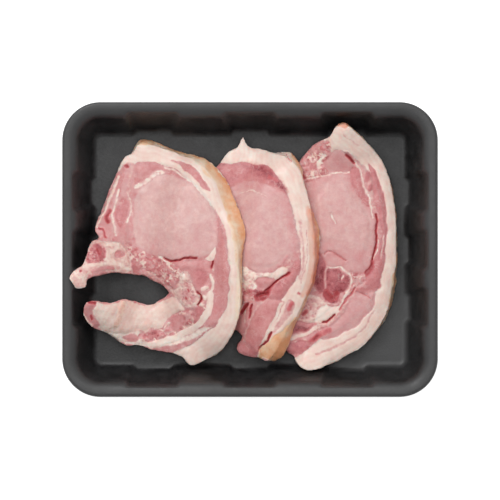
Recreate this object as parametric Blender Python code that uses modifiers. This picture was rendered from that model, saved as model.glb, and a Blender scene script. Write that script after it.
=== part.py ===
"""Open foam meat tray holding three raw pork loin chops, laid like shingles from right to left.

Metres, +Z up. The origin is on the surface that the tray stands on, under the tray's centre; +X runs
along the tray's long side and +Y along its short side. Sizes below are in millimetres times MM.
"""

import math

import bmesh
import bpy
import numpy as np

MM = 0.001

# Tray: a foam shell with a turned-down lip and sloping walls that step out into shallow panels
TRAY_LENGTH = 235 * MM
TRAY_WIDTH = 184.5 * MM
TRAY_HEIGHT = 32 * MM
CORNER_RADIUS = 24 * MM
FOAM_THICKNESS = 3.5 * MM
FLOOR_TOP = FOAM_THICKNESS
CORNER_STEPS = 6
PANELS_A_SIDE = 3
LONG_SIDE_PITCH = 61 * MM
SHORT_SIDE_PITCH = 36.3 * MM
LONG_PANEL_WIDTHS = (23 * MM, 33 * MM)  # at the floor, at the rim
SHORT_PANEL_WIDTHS = (16.2 * MM, 25 * MM)
PANEL_STEP = 1.2 * MM  # half the width of the slanted edge between rib and panel
# Each ring of the tray's upper surface: inset of the ribs, inset of the panels, height
TRAY_RINGS = (
    (0 * MM, 0 * MM, TRAY_HEIGHT - 5 * MM),
    (0 * MM, 0 * MM, TRAY_HEIGHT - 1.5 * MM),
    (2 * MM, 2 * MM, TRAY_HEIGHT),
    (6 * MM, 6 * MM, TRAY_HEIGHT - 0.4 * MM),
    (9.5 * MM, 7.5 * MM, TRAY_HEIGHT - 3.5 * MM),
    (18 * MM, 15.8 * MM, FLOOR_TOP + 2 * MM),
    (20 * MM, 17.8 * MM, FLOOR_TOP),
)

# How a chop lies
TOUCH_GAP = 0.5 * MM  # left between a chop and what carries it
SEAM_GAP = 0.4 * MM  # left between the lean, the fat and the bones of one chop
BEND_SLOPE = 0.65  # steepest way down from a raised spot, as rise over run
WRAP_HEIGHT = TRAY_HEIGHT + 4 * MM  # the film that went round the pack held everything below this
LEAST_THICKNESS = 5 * MM
EDGE_DROP = 1.6 * MM  # how far a cut face rounds off at its rim
EDGE_ROUNDING = 5 * MM
RIND_SPREAD = 12 * MM  # how far into the chop the slant of the rind reaches
SEAM_MARGIN = 5 * MM  # how far from the seam that slant is whole
FACET = 5.5 * MM  # spacing of the points on a cut face
MAP_STEP = 1 * MM
MEAT_BRIDGE = 4  # how far a chop bridges a step in the chop below it, in map steps
WALL_BRIDGE = 3  # and in the tray
SPANS = 3  # straight pieces between two outline points
SKIN_STEPS = 12  # and where the slant of the skin is read
SLAB = 12 * MM  # height of the slab before it is laid down

# Plan outlines, anticlockwise names but clockwise points, as seen from above, in millimetres from the
# tray's centre. "rind" runs down the outside, where the skin is; "slant" is how far the foot of the
# skin stands out beyond its top edge at each of those points.
LEFT_CHOP = {
    "rind": ((-69.8, 66.5), (-60, 65.5), (-48.5, 61.5), (-32.8, 55), (-22.8, 42), (-16.5, 25.5),
             (-10.5, 11), (-7.5, -6.5), (-6.2, -30), (-9, -48.5), (-18.3, -63.3), (-28.5, -69.8)),
    "slant": ((0, 2.5), (0, 2.8), (0, 1.5), (4, 2.5), (7, 3), (9.5, 0.5), (7.5, 0), (3, 0), (1, 0),
              (0, 0), (0, 0), (0, 0)),
    "tail": ((-37.5, -72.8), (-42.5, -67.5), (-51, -64.8), (-61, -63), (-71, -60.3), (-77.5, -60.3),
             (-84.5, -56.3), (-91, -52), (-98.3, -49), (-103.3, -43), (-104.3, -38.5)),
    "notch": ((-102, -33.3), (-97, -32.3), (-88, -33.8), (-78.3, -31.1), (-69, -34.2), (-62, -35.2),
              (-56.5, -32.2), (-52.3, -30), (-50, -27), (-53, -24), (-60, -20.4), (-67.5, -16.2),
              (-74, -15.8), (-82, -14.2), (-88, -14), (-94, -15.8)),
    "bone_side": ((-101.5, -18.3), (-102.5, -23), (-106, -24.6), (-109.3, -24), (-110, -21.3),
                  (-112.3, -17.8), (-108.8, -13), (-104.8, -9.8), (-102.6, -4), (-101.4, 2), (-98.8, 5.7),
                  (-94.7, 7.2), (-97, 12), (-95.8, 17), (-92.7, 26.5), (-88, 39.5), (-81.3, 54),
                  (-78.5, 58.5), (-74.3, 60.3)),
    "eye": (-45, 18), "eye_reach": (50, 68), "thick": 14 * MM, "thin": 11 * MM,
}
MIDDLE_CHOP = {
    "rind": ((25, 57), (31, 49), (35, 37), (38, 26), (39.5, 12), (40.5, -5), (38.5, -19),
             (34, -31), (29, -42.5), (24.5, -47.5), (20, -56), (14.5, -65), (10.5, -69.8)),
    "slant": ((1, 3.5), (0.5, 4), (0, 0), (0.5, 0), (4, 0), (2.5, 0), (2, -1), (1.5, -2), (1, -2),
              (3, -3), (4, -4.5), (4, -4), (0.5, -0.5)),
    "tail": ((6.8, -68.4), (-0.5, -67.5), (-7.7, -62.5), (-4, -54), (-13, -48)),
    "notch": ((-22, -42), (-29, -34)),
    "bone_side": ((-36, -22), (-42, -5), (-42, 14), (-37, 31), (-29, 44), (-20.5, 52.5), (-14, 60.5),
                  (-7.5, 64.5), (-4.5, 70.5), (-1.8, 65.5), (4.5, 63), (12, 62)),
    "eye": (14, 12), "eye_reach": (58, 66), "thick": 14 * MM, "thin": 11 * MM,
}
RIGHT_CHOP = {
    "rind": ((60, 78.5), (73, 67), (82.3, 56.5), (87.5, 44), (90.8, 27), (91.8, 8), (91.2, -12),
             (88.3, -30), (83.7, -44.7), (72, -59.2), (55.5, -69.4), (38.5, -76)),
    "slant": ((0, 1.5), (0, 0), (0.5, 0), (1, 0), (1, 0), (1, 0), (1.5, 0), (2.5, -1), (1, -0.5),
              (0, 0), (0, 0), (0, 0)),
    "tail": ((33, -74.8), (29.3, -71), (28.3, -67.3), (23, -64)),
    "notch": ((13, -48), (7.5, -36)),
    "bone_side": ((4.5, -22), (3, -6), (5, 10), (10, 27), (19, 42), (31, 54.5), (39.5, 65.5),
                  (49.5, 70.5), (54.3, 77.5)),
    "eye": (57, 12), "eye_reach": (50, 70), "thick": 14 * MM, "thin": 11 * MM,
}

# Seams, in millimetres: knife lines that run through a chop from edge to edge
LEFT_SEAMS = {
    "fat": ((-88, 50), (-73, 53.5), (-54, 53), (-40, 45.5), (-27, 32), (-18, 14), (-13.5, -6),
            (-13.5, -30), (-20, -45), (-35, -58), (-52, -68)),
    "backbone": ((-100, 8.5), (-92, 5), (-82, 4.5), (-77, -1), (-74, -9), (-73, -20)),
    "rib": ((-54, -28), (-50.3, -25), (-47.5, -23), (-44.5, -19.5), (-43, -14.8), (-38.9, -14.5),
            (-36, -20), (-33.5, -25.5), (-31.3, -31), (-32.8, -35.6), (-37.5, -36.6), (-42, -35),
            (-46, -31), (-49.5, -28.7), (-54, -29.2)),
}
MIDDLE_SEAMS = {
    "fat": ((-28, 50), (-13, 54), (2, 51), (17, 44.5), (25, 29), (30, 6), (31, -14), (21, -28),
            (15, -43), (5, -64), (3, -72)),
}
RIGHT_SEAMS = {
    "fat": ((44, 74), (50, 62), (63, 60), (76, 45), (83, 28), (84.5, 0), (80, -25), (66, -43),
            (44, -57), (28, -69.3), (20, -75)),
    "rib": ((-2, -22), (14, -28), (30, -27), (45, -26), (52, -33), (44, -42), (30, -50), (14, -55),
            (2, -50)),
}
# A spot inside each cut piece, in millimetres, by which it gets its name
LEFT_PIECES = {"lean": (-45, 18), "fat": (-11, -20), "backbone": (-97, -3), "rib": (-40, -25)}
MIDDLE_PIECES = {"lean": (8, 10), "fat": (36, 0)}
RIGHT_PIECES = {"lean": (57, 12), "fat": (88, 0), "rib": (30, -38)}

FOAM_LOOK = ((0.045, 0.045, 0.047), 0.55)
LEAN_LOOK = ((0.64, 0.34, 0.33), 0.42)
FAT_LOOK = ((0.83, 0.67, 0.60), 0.40)
BONE_LOOK = ((0.62, 0.40, 0.38), 0.50)
PIECE_LOOKS = {"lean": LEAN_LOOK, "fat": FAT_LOOK, "backbone": BONE_LOOK, "rib": BONE_LOOK}


def clear_scene():
    for obj in list(bpy.data.objects):
        bpy.data.objects.remove(obj)


def new_collection(name):
    made = bpy.data.collections.new(name)
    bpy.context.scene.collection.children.link(made)
    return made


def material(name, look):
    """A plain Principled finish: look is its colour and roughness."""
    made = bpy.data.materials.get(name)
    if made is None:
        colour, roughness = look
        made = bpy.data.materials.new(name)
        made.use_nodes = True
        shader = made.node_tree.nodes["Principled BSDF"]
        shader.inputs["Base Color"].default_value = (*colour, 1)
        shader.inputs["Roughness"].default_value = roughness
        shader.inputs["Metallic"].default_value = 0
    return made


def add_object(name, data, collection, finish=None):
    obj = bpy.data.objects.new(name, data)
    collection.objects.link(obj)
    if finish is not None:
        obj.data.materials.append(finish)
    return obj


def ring_height_at(inset):
    """Height of the tray's upper surface at this inset from its outline, along a rib."""
    insets = [ring[0] for ring in TRAY_RINGS[1:]]
    heights = [ring[2] for ring in TRAY_RINGS[1:]]
    return np.interp(inset, insets, heights)


def side_points(half_side, half_pitch_count, pitch, widths, inset_pair, share):
    """Points along one straight side: (distance along it, inset) for every panel edge, from -half_side on."""
    rib_inset, panel_inset = inset_pair
    half_width = (widths[0] + (widths[1] - widths[0]) * share) / 2
    points = []
    for number in range(-half_pitch_count, half_pitch_count + 1):
        centre = number * pitch
        points.append((centre - half_width - PANEL_STEP, rib_inset))
        points.append((centre - half_width + PANEL_STEP, panel_inset))
        points.append((centre + half_width - PANEL_STEP, panel_inset))
        points.append((centre + half_width + PANEL_STEP, rib_inset))
    return [(max(-half_side, min(half_side, along)), inset) for along, inset in points]


def tray_ring(rib_inset, panel_inset, height):
    """One loop round the tray, anticlockwise from the right-hand side."""
    span = TRAY_HEIGHT - FLOOR_TOP
    share = (height - FLOOR_TOP) / span
    radius = CORNER_RADIUS - rib_inset
    half_length = TRAY_LENGTH / 2
    half_width = TRAY_WIDTH / 2
    reach = PANELS_A_SIDE // 2
    loop = []
    sides = (
        (half_length, half_width, SHORT_SIDE_PITCH, SHORT_PANEL_WIDTHS),
        (half_width, half_length, LONG_SIDE_PITCH, LONG_PANEL_WIDTHS),
    ) * 2
    for quarter, (out, half_side, pitch, widths) in enumerate(sides):
        turn = quarter * math.pi / 2
        straight = half_side - CORNER_RADIUS
        for along, inset in side_points(straight, reach, pitch, widths, (rib_inset, panel_inset), share):
            loop.append((turn, out - inset, along))
        for step in range(CORNER_STEPS + 1):
            angle = step / CORNER_STEPS * math.pi / 2
            loop.append((turn, out - CORNER_RADIUS + radius * math.cos(angle),
                         straight + radius * math.sin(angle)))
    return [
        (out * math.cos(turn) - along * math.sin(turn), out * math.sin(turn) + along * math.cos(turn), height)
        for turn, out, along in loop
    ]


def build_tray(collection):
    """Lofts the upper surface through its rings, closes the floor and gives the foam its thickness."""
    bm = bmesh.new()
    rings = [[bm.verts.new(point) for point in tray_ring(*ring)] for ring in TRAY_RINGS]
    for outer, inner in zip(rings, rings[1:]):
        for here in range(len(outer)):
            after = (here + 1) % len(outer)
            bm.faces.new((outer[here], outer[after], inner[after], inner[here]))
    bm.faces.new(rings[-1])
    bmesh.ops.recalc_face_normals(bm, faces=bm.faces)
    if rings[-1][0].link_faces[0].normal.z < 0:
        bmesh.ops.reverse_faces(bm, faces=bm.faces)
    mesh = bpy.data.meshes.new("tray")
    bm.to_mesh(mesh)
    bm.free()
    tray = add_object("tray", mesh, collection, material("foam", FOAM_LOOK))
    foam = tray.modifiers.new("foam", "SOLIDIFY")
    foam.solidify_mode = "NON_MANIFOLD"
    foam.nonmanifold_thickness_mode = "CONSTRAINTS"
    foam.thickness = FOAM_THICKNESS
    foam.offset = -1
    return tray


def smooth_line(points, closed, spans):
    """Points on a smooth curve through the given ones (centripetal Catmull-Rom)."""
    given = [np.array(point, float) for point in points]
    count = len(given)
    if closed:
        ends = [given[-1], *given, given[0], given[1]]
    else:
        ends = [2 * given[0] - given[1], *given, 2 * given[-1] - given[-2]]
    line = []
    for start in range(count if closed else count - 1):
        a, b, c, d = ends[start:start + 4]
        knots = np.cumsum([0] + [math.sqrt(np.linalg.norm(q - p)) for p, q in ((a, b), (b, c), (c, d))])
        for step in range(spans):
            t = knots[1] + (knots[2] - knots[1]) * step / spans
            low = ((knots[1] - t) * a + t * b) / knots[1]
            mid = ((knots[2] - t) * b + (t - knots[1]) * c) / (knots[2] - knots[1])
            high = ((knots[3] - t) * c + (t - knots[2]) * d) / (knots[3] - knots[2])
            left = ((knots[2] - t) * low + t * mid) / knots[2]
            right = ((knots[3] - t) * mid + (t - knots[1]) * high) / (knots[3] - knots[1])
            line.append(((knots[2] - t) * left + (t - knots[1]) * right) / (knots[2] - knots[1]))
    if not closed:
        line.append(given[-1])
    return np.array(line)


def outline_of(chop):
    strokes = chop["rind"] + chop["tail"] + chop["notch"] + chop["bone_side"]
    return smooth_line(strokes, True, SPANS) * MM


def inside(outline, x, y):
    """True for each point (x, y) that lies within the closed outline."""
    crossings = np.zeros(np.shape(x), int)
    for (x0, y0), (x1, y1) in zip(outline, np.roll(outline, -1, axis=0)):
        spans = (y0 > y) != (y1 > y)
        slope = (x1 - x0) / (y1 - y0) if y1 != y0 else 0
        crossings += spans & (x < x0 + (y - y0) * slope)
    return crossings % 2 == 1


def distance_to(line, x, y, closed):
    """Shortest distance from each point to the line."""
    starts = line if closed else line[:-1]
    finishes = np.roll(line, -1, axis=0) if closed else line[1:]
    nearest = np.full(np.shape(x), np.inf)
    for (x0, y0), (x1, y1) in zip(starts, finishes):
        dx, dy = x1 - x0, y1 - y0
        share = np.clip(((x - x0) * dx + (y - y0) * dy) / max(dx * dx + dy * dy, 1e-12), 0, 1)
        nearest = np.minimum(nearest, np.hypot(x - x0 - share * dx, y - y0 - share * dy))
    return nearest


def ease(share):
    """Smooth step from 0 to 1."""
    share = np.clip(share, 0, 1)
    return share * share * (3 - 2 * share)


def slant_at(chop, seams, x, y):
    """How far the foot of the skin stands out below each point of the top face, as (dx, dy). It dies
    away towards the lean, so that the seam under the fat stays upright."""
    marks = [(*place, *spread) for place, spread in zip(chop["rind"], chop["slant"])]
    skin = smooth_line(marks, False, SKIN_STEPS) * MM
    rind = skin[:, :2]
    nearest = np.hypot(np.subtract.outer(x, rind[:, 0]), np.subtract.outer(y, rind[:, 1])).argmin(-1)
    seam = smooth_line(seams["fat"], False, SPANS + 1) * MM
    fade = 1 - ease(distance_to(rind, x, y, False) / RIND_SPREAD)
    fade = fade * ease((distance_to(seam, x, y, False) - SEAM_GAP) / SEAM_MARGIN)
    return skin[nearest, 2] * fade, skin[nearest, 3] * fade


def thickness_at(chop, x, y, bottom):
    """Thickest over the eye of the loin, thinner towards the edges, and pressed flat where it lies high."""
    centre, reach = np.array(chop["eye"]) * MM, np.array(chop["eye_reach"]) * MM
    away = np.hypot((x - centre[0]) / reach[0], (y - centre[1]) / reach[1])
    cut = chop["thick"] - (chop["thick"] - chop["thin"]) * ease(away)
    return np.clip(WRAP_HEIGHT - bottom, LEAST_THICKNESS, cut)


def rim_drop_at(outline, x, y):
    return EDGE_DROP * (1 - ease(distance_to(outline, x, y, True) / EDGE_ROUNDING))


class HeightMap:
    """Heights of what lies in the tray so far, on a square grid over the tray."""

    def __init__(self):
        self.x = np.arange(-TRAY_LENGTH / 2, TRAY_LENGTH / 2 + MAP_STEP, MAP_STEP)
        self.y = np.arange(-TRAY_WIDTH / 2, TRAY_WIDTH / 2 + MAP_STEP, MAP_STEP)
        self.grid_x, self.grid_y = np.meshgrid(self.x, self.y)
        past_x = np.abs(self.grid_x) - (TRAY_LENGTH / 2 - CORNER_RADIUS)
        past_y = np.abs(self.grid_y) - (TRAY_WIDTH / 2 - CORNER_RADIUS)
        beyond = np.hypot(np.maximum(past_x, 0), np.maximum(past_y, 0))
        inset = CORNER_RADIUS - beyond - np.minimum(np.maximum(past_x, past_y), 0)
        self.tray = ring_height_at(inset)
        self.meat = np.zeros_like(self.tray)

    def read(self, heights, x, y):
        """Heights at the points (x, y), between the grid's own."""
        column = np.clip((x - self.x[0]) / MAP_STEP, 0, len(self.x) - 1.001)
        row = np.clip((y - self.y[0]) / MAP_STEP, 0, len(self.y) - 1.001)
        c, r = column.astype(int), row.astype(int)
        u, v = column - c, row - r
        return (
            heights[r, c] * (1 - u) * (1 - v) + heights[r, c + 1] * u * (1 - v)
            + heights[r + 1, c] * (1 - u) * v + heights[r + 1, c + 1] * u * v
        )

    def hang_over(self, heights, bridge):
        """The underside of a limp slab laid over these heights: it hangs down from every raised spot at
        no more than BEND_SLOPE, and bridges a step by this many map steps."""
        under = heights.copy()
        for _ in range(int(2 * TRAY_HEIGHT / BEND_SLOPE / MAP_STEP)):
            before = under.copy()
            for axis in (0, 1):
                for way in (1, -1):
                    under = np.maximum(under, np.roll(under, way, axis) - BEND_SLOPE * MAP_STEP)
            for way in ((1, 1), (1, -1), (-1, 1), (-1, -1)):
                under = np.maximum(under, np.roll(under, way, (0, 1)) - BEND_SLOPE * MAP_STEP * math.sqrt(2))
            if np.allclose(before, under):
                break
        for _ in range(bridge):
            for axis in (0, 1):
                under = np.maximum(under, np.maximum(np.roll(under, 1, axis), np.roll(under, -1, axis)))
        return under

    def rest_under(self, footprint):
        """The underside of a slab with this footprint, on the tray and the chops already in it."""
        nothing = FLOOR_TOP - TRAY_HEIGHT
        tray = self.hang_over(np.where(footprint, self.tray, nothing), WALL_BRIDGE)
        meat = self.hang_over(np.where(footprint, self.meat, nothing), MEAT_BRIDGE)
        under = np.maximum(np.maximum(tray, meat), FLOOR_TOP)
        for _ in range(MEAT_BRIDGE):
            for axis in (0, 1):
                under = (np.roll(under, 1, axis) + under + np.roll(under, -1, axis)) / 3
        return under


def cut_slab(name, outline, seams, helpers):
    """A flat slab with the chop's plan, sliced along its seams and crossed by a net of points."""
    plan = bpy.data.curves.new(name, "CURVE")
    plan.dimensions = "2D"
    plan.fill_mode = "BOTH"
    plan.extrude = SLAB / 2
    spline = plan.splines.new("POLY")
    spline.points.add(len(outline) - 1)
    for point, (x, y) in zip(spline.points, outline):
        point.co = (x, y, 0, 1)
    spline.use_cyclic_u = True
    slab = mesh_from_curve(name, plan, helpers)
    for seam_name, seam in seams.items():
        knife = knife_along(f"{name}_{seam_name}_knife", seam, helpers)
        cut = slab.modifiers.new(seam_name, "BOOLEAN")
        cut.operation = "DIFFERENCE"
        cut.solver = "EXACT"
        cut.object = knife
    bm = bmesh.new()
    bm.from_mesh(evaluated_mesh(slab))
    bmesh.ops.dissolve_limit(bm, angle_limit=0.01, verts=bm.verts, edges=bm.edges)
    for axis, (low, high) in enumerate(zip(outline.min(0), outline.max(0))):
        normal = (1, 0, 0) if axis == 0 else (0, 1, 0)
        for number in range(math.ceil(low / FACET), math.floor(high / FACET) + 1):
            through = tuple(component * (number + 0.37) * FACET for component in normal)
            everything = bm.verts[:] + bm.edges[:] + bm.faces[:]
            bmesh.ops.bisect_plane(bm, geom=everything, plane_co=through, plane_no=normal, dist=1e-6)
    bmesh.ops.triangulate(bm, faces=bm.faces)
    bm.verts.index_update()
    bpy.data.objects.remove(slab)
    return bm


def evaluated_mesh(obj):
    graph = bpy.context.evaluated_depsgraph_get()
    return bpy.data.meshes.new_from_object(obj.evaluated_get(graph))


def mesh_from_curve(name, curve, helpers):
    """The curve's solid as a mesh object, with its caps welded on."""
    source = add_object(name + "_plan", curve, helpers)
    mesh = evaluated_mesh(source)
    bm = bmesh.new()
    bm.from_mesh(mesh)
    bmesh.ops.remove_doubles(bm, verts=bm.verts, dist=1e-6)
    bmesh.ops.recalc_face_normals(bm, faces=bm.faces)
    bm.to_mesh(mesh)
    bm.free()
    made = add_object(name, mesh, helpers)
    made.matrix_world = source.matrix_world
    bpy.data.objects.remove(source)
    return made


def knife_along(name, seam, helpers):
    """A thin upright plate that follows a seam and cuts right through a slab."""
    line = smooth_line(seam, False, SPANS + 1) * MM
    blade = bpy.data.curves.new(name, "CURVE")
    blade.dimensions = "2D"
    blade.fill_mode = "NONE"
    blade.extrude = SLAB
    spline = blade.splines.new("POLY")
    spline.points.add(len(line) - 1)
    for point, (x, y) in zip(spline.points, line):
        point.co = (x, y, 0, 1)
    knife = mesh_from_curve(name, blade, helpers)
    width = knife.modifiers.new("width", "SOLIDIFY")
    width.thickness = SEAM_GAP
    width.offset = 0
    width.use_even_offset = True
    knife.hide_render = True
    knife.display_type = "WIRE"
    return knife


def lay_down(bm, chop, seams, outline, under, tray_map):
    """Moves the flat slab's points to where they lie in the tray."""
    flat = np.array([vert.co for vert in bm.verts])
    share = flat[:, 2] / SLAB + 0.5
    x, y = flat[:, 0], flat[:, 1]
    out_x, out_y = slant_at(chop, seams, x, y)
    drop = rim_drop_at(outline, x, y)
    x_laid = x + out_x * (1 - share)
    y_laid = y + out_y * (1 - share)
    bottom = tray_map.read(under, x_laid, y_laid) + TOUCH_GAP
    thickness = thickness_at(chop, x, y, bottom)
    z_laid = bottom + drop * (1 - share) + (thickness - drop) * share
    for vert, *place in zip(bm.verts, x_laid, y_laid, z_laid):
        vert.co = place


def islands(bm):
    """The faces of each separate body."""
    left = set(bm.faces)
    while left:
        body, edge_of_body = set(), [left.pop()]
        while edge_of_body:
            face = edge_of_body.pop()
            body.add(face)
            near = {other for edge in face.edges for other in edge.link_faces} & left
            left -= near
            edge_of_body.extend(near)
        yield body


def name_bodies(bm, pieces):
    """Which body each named spot belongs to: the one with the nearest point."""
    bodies = list(islands(bm))
    plans = [np.array([vert.co for face in body for vert in face.verts])[:, :2] for body in bodies]
    named = {}
    for name, spot in pieces.items():
        gaps = [np.hypot(*(plan - np.array(spot) * MM).T).min() for plan in plans]
        named[name] = bodies[int(np.argmin(gaps))]
    return named


def build_chop(name, chop, seams, pieces, tray_map, collection, helpers):
    """Slices, names and lays down one chop, then adds it to what lies in the tray."""
    outline = outline_of(chop)
    out_x, out_y = slant_at(chop, seams, outline[:, 0], outline[:, 1])
    foot = outline + np.stack((out_x, out_y), axis=1)
    footprint = inside(outline, tray_map.grid_x, tray_map.grid_y)
    footprint |= inside(foot, tray_map.grid_x, tray_map.grid_y)
    under = tray_map.rest_under(footprint)
    bm = cut_slab(name, outline, seams, helpers)
    named = name_bodies(bm, pieces)
    corners = {piece: [[vert.index for vert in face.verts] for face in body] for piece, body in named.items()}
    lay_down(bm, chop, seams, outline, under, tray_map)
    points = [vert.co.copy() for vert in bm.verts]
    bm.free()
    for piece, faces in corners.items():
        used = sorted({corner for face in faces for corner in face})
        place = {corner: number for number, corner in enumerate(used)}
        mesh = bpy.data.meshes.new(f"{name}_{piece}")
        mesh.from_pydata([points[corner] for corner in used], [], [[place[c] for c in face] for face in faces])
        add_object(f"{name}_{piece}", mesh, collection, material(piece, PIECE_LOOKS[piece]))
    covered = inside(outline, tray_map.grid_x, tray_map.grid_y)
    bottom = under + TOUCH_GAP
    top = bottom + thickness_at(chop, tray_map.grid_x, tray_map.grid_y, bottom)
    tray_map.meat = np.where(covered, np.maximum(tray_map.meat, top), tray_map.meat)


def main():
    clear_scene()
    parts = new_collection("meat_tray_pack")
    helpers = new_collection("cutters")
    build_tray(parts)
    tray_map = HeightMap()
    build_chop("right_chop", RIGHT_CHOP, RIGHT_SEAMS, RIGHT_PIECES, tray_map, parts, helpers)
    build_chop("middle_chop", MIDDLE_CHOP, MIDDLE_SEAMS, MIDDLE_PIECES, tray_map, parts, helpers)
    build_chop("left_chop", LEFT_CHOP, LEFT_SEAMS, LEFT_PIECES, tray_map, parts, helpers)


main()
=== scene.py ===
# %% [markdown]
# # An open tray of raw pork loin chops
#
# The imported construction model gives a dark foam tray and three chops, each cut into lean, fat and bone.
# This scene keeps their sizes and places and gives them the look of the real things. It loads the model
# first, because every later step reads its sizes from there.

import itertools
import math

import bmesh
import bpy
import numpy as np
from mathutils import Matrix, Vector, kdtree


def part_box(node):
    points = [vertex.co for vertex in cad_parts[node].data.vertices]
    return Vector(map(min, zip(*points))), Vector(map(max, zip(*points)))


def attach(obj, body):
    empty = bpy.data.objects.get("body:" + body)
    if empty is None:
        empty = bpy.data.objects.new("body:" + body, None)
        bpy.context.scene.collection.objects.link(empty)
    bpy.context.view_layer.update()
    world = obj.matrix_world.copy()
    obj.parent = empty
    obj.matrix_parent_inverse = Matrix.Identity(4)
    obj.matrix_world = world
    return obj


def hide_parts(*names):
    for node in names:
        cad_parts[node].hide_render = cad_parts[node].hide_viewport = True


MM = 0.001

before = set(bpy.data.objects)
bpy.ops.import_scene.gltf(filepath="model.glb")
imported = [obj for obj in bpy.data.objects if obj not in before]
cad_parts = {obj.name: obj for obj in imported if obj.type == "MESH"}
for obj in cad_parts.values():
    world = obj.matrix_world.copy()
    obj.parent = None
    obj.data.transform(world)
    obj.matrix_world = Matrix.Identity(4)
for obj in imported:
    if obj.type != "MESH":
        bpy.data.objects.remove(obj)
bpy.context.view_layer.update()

# %% [markdown]
# ## The view
#
# The pack was photographed from straight above, so near and far parts keep one scale. A long lens far
# up gives that: the picture is as wide as the real stretch of table that it shows, at the tray's rim.

# %% Camera over the tray
VIEW_WIDTH = 312.5 * MM
VIEW_CENTRE = (0, -0.3 * MM)
CAMERA_HEIGHT = 2.6
SENSOR_WIDTH = 36


def show(made):
    """Puts a new object into the scene."""
    bpy.context.scene.collection.objects.link(made)
    return made


rim_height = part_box("tray")[1][2]
camera_data = bpy.data.cameras.new("overhead_camera")
camera_data.sensor_width = SENSOR_WIDTH
camera_data.lens = SENSOR_WIDTH * CAMERA_HEIGHT / VIEW_WIDTH
camera = show(bpy.data.objects.new("overhead_camera", camera_data))
camera.location = (*VIEW_CENTRE, rim_height + CAMERA_HEIGHT)
bpy.context.scene.camera = camera
print("lens in mm:", round(camera_data.lens))

# %% [markdown]
# ## Light
#
# A meat counter picture is lit by one broad soft light overhead, so the meat has hardly any shadow and
# the tray's steep walls fall dark. The lamp stands beyond the tray's far left corner, so the walls on that
# side face away from it and are the darkest. A weaker light from there keeps the relief readable.

# %% Lights
SOFTBOX_PLACE = (-0.12, 0.42, 1.25)
SOFTBOX_SIZE = 1.3
SOFTBOX_WATTS = 8.6
SIDE_LIGHT_PLACE = (-0.5, 0.95, 1.15)
SIDE_LIGHT_SIZE = 0.5
SIDE_LIGHT_WATTS = 5.5
ROOM_LIGHT = 0.45


def soft_light(name, place, size, watts):
    """A square lamp that faces the tray."""
    data = bpy.data.lights.new(name, "AREA")
    data.size = size
    data.energy = watts
    lamp = show(bpy.data.objects.new(name, data))
    lamp.location = place
    lamp.rotation_euler = (-lamp.location).to_track_quat("-Z", "Y").to_euler()
    print(name, watts, "watts")


soft_light("softbox", SOFTBOX_PLACE, SOFTBOX_SIZE, SOFTBOX_WATTS)
soft_light("side_light", SIDE_LIGHT_PLACE, SIDE_LIGHT_SIZE, SIDE_LIGHT_WATTS)
room = bpy.data.worlds.new("room")
room.use_nodes = True
room.node_tree.nodes["Background"].inputs["Color"].default_value = (1, 1, 1, 1)
room.node_tree.nodes["Background"].inputs["Strength"].default_value = ROOM_LIGHT
bpy.context.scene.world = room
bpy.context.scene.view_settings.view_transform = "Standard"

# %% [markdown]
# ## Small helpers for materials
#
# Every finish below is a graph of shader nodes. These helpers keep the graphs short: one adds a node with
# its inputs filled or linked, three do sums, and one turns a colour as seen on a screen into the linear
# numbers that the shader wants.

# %% Node helpers


def linear(red, green, blue):
    """Screen colour, 0 to 255, as a linear colour with alpha."""
    shares = [part / 255 for part in (red, green, blue)]
    return (*[s / 12.92 if s <= 0.04045 else ((s + 0.055) / 1.055) ** 2.4 for s in shares], 1)


def add(tree, kind, inputs=None, **settings):
    """A new node; each input is given a value or linked to a socket."""
    made = tree.nodes.new(kind)
    for name, value in settings.items():
        setattr(made, name, value)
    for socket, value in (inputs or {}).items():
        if isinstance(value, bpy.types.NodeSocket):
            tree.links.new(value, made.inputs[socket])
        else:
            made.inputs[socket].default_value = value
    return made


def maths(tree, operation, *values):
    """One arithmetic node's result."""
    return add(tree, "ShaderNodeMath", dict(enumerate(values)), operation=operation).outputs[0]


def plus(tree, first, second):
    """The sum of two values."""
    return maths(tree, "ADD", first, second)


def times(tree, first, second):
    """The product of two values."""
    return maths(tree, "MULTIPLY", first, second)


print("middle grey as a linear share:", round(linear(128, 128, 128)[0], 3))

# %% [markdown]
# ### Spreading and mixing
#
# Natural surfaces are mottled, so most colours come from noise that is spread over a range and mixes two
# colours or runs along a scale of several.

# %% Helpers that spread and mix


def remap(tree, value, low, high, new_low=0.0, new_high=1.0):
    """The value spread from low..high onto new_low..new_high with soft ends."""
    inputs = {"Value": value, "From Min": low, "From Max": high, "To Min": new_low, "To Max": new_high}
    return add(tree, "ShaderNodeMapRange", inputs, interpolation_type="SMOOTHSTEP").outputs["Result"]


def blend(tree, share, first, second):
    """Mixes two colours."""
    made = add(tree, "ShaderNodeMix", data_type="RGBA")
    for socket, value in ((made.inputs[0], share), (made.inputs[6], first), (made.inputs[7], second)):
        if isinstance(value, bpy.types.NodeSocket):
            tree.links.new(value, socket)
        else:
            socket.default_value = value
    return made.outputs[2]


def ramp(tree, share, shades):
    """The share's colour on a scale of screen colours."""
    made = add(tree, "ShaderNodeValToRGB", {"Fac": share})
    stops = made.color_ramp.elements
    while len(stops) < len(shades):
        stops.new(0.5)
    for stop, (position, shade) in zip(stops, shades):
        stop.position = position
        stop.color = linear(*shade)
    return made.outputs["Color"]


def speckle(tree, place, size, detail=2.0):
    """Noise whose blobs are about this many metres wide."""
    inputs = {"Vector": place, "Scale": 1 / size, "Detail": detail}
    return add(tree, "ShaderNodeTexNoise", inputs).outputs["Fac"]


print("helpers that spread and mix:", remap.__name__, blend.__name__, ramp.__name__, speckle.__name__)

# %% [markdown]
# ### Groups and materials
#
# A look that several materials share is made once as a node group. Each material reads the object's own
# coordinates, so that its grain keeps its size in metres whatever the piece.

# %% Helpers for groups and materials


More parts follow.
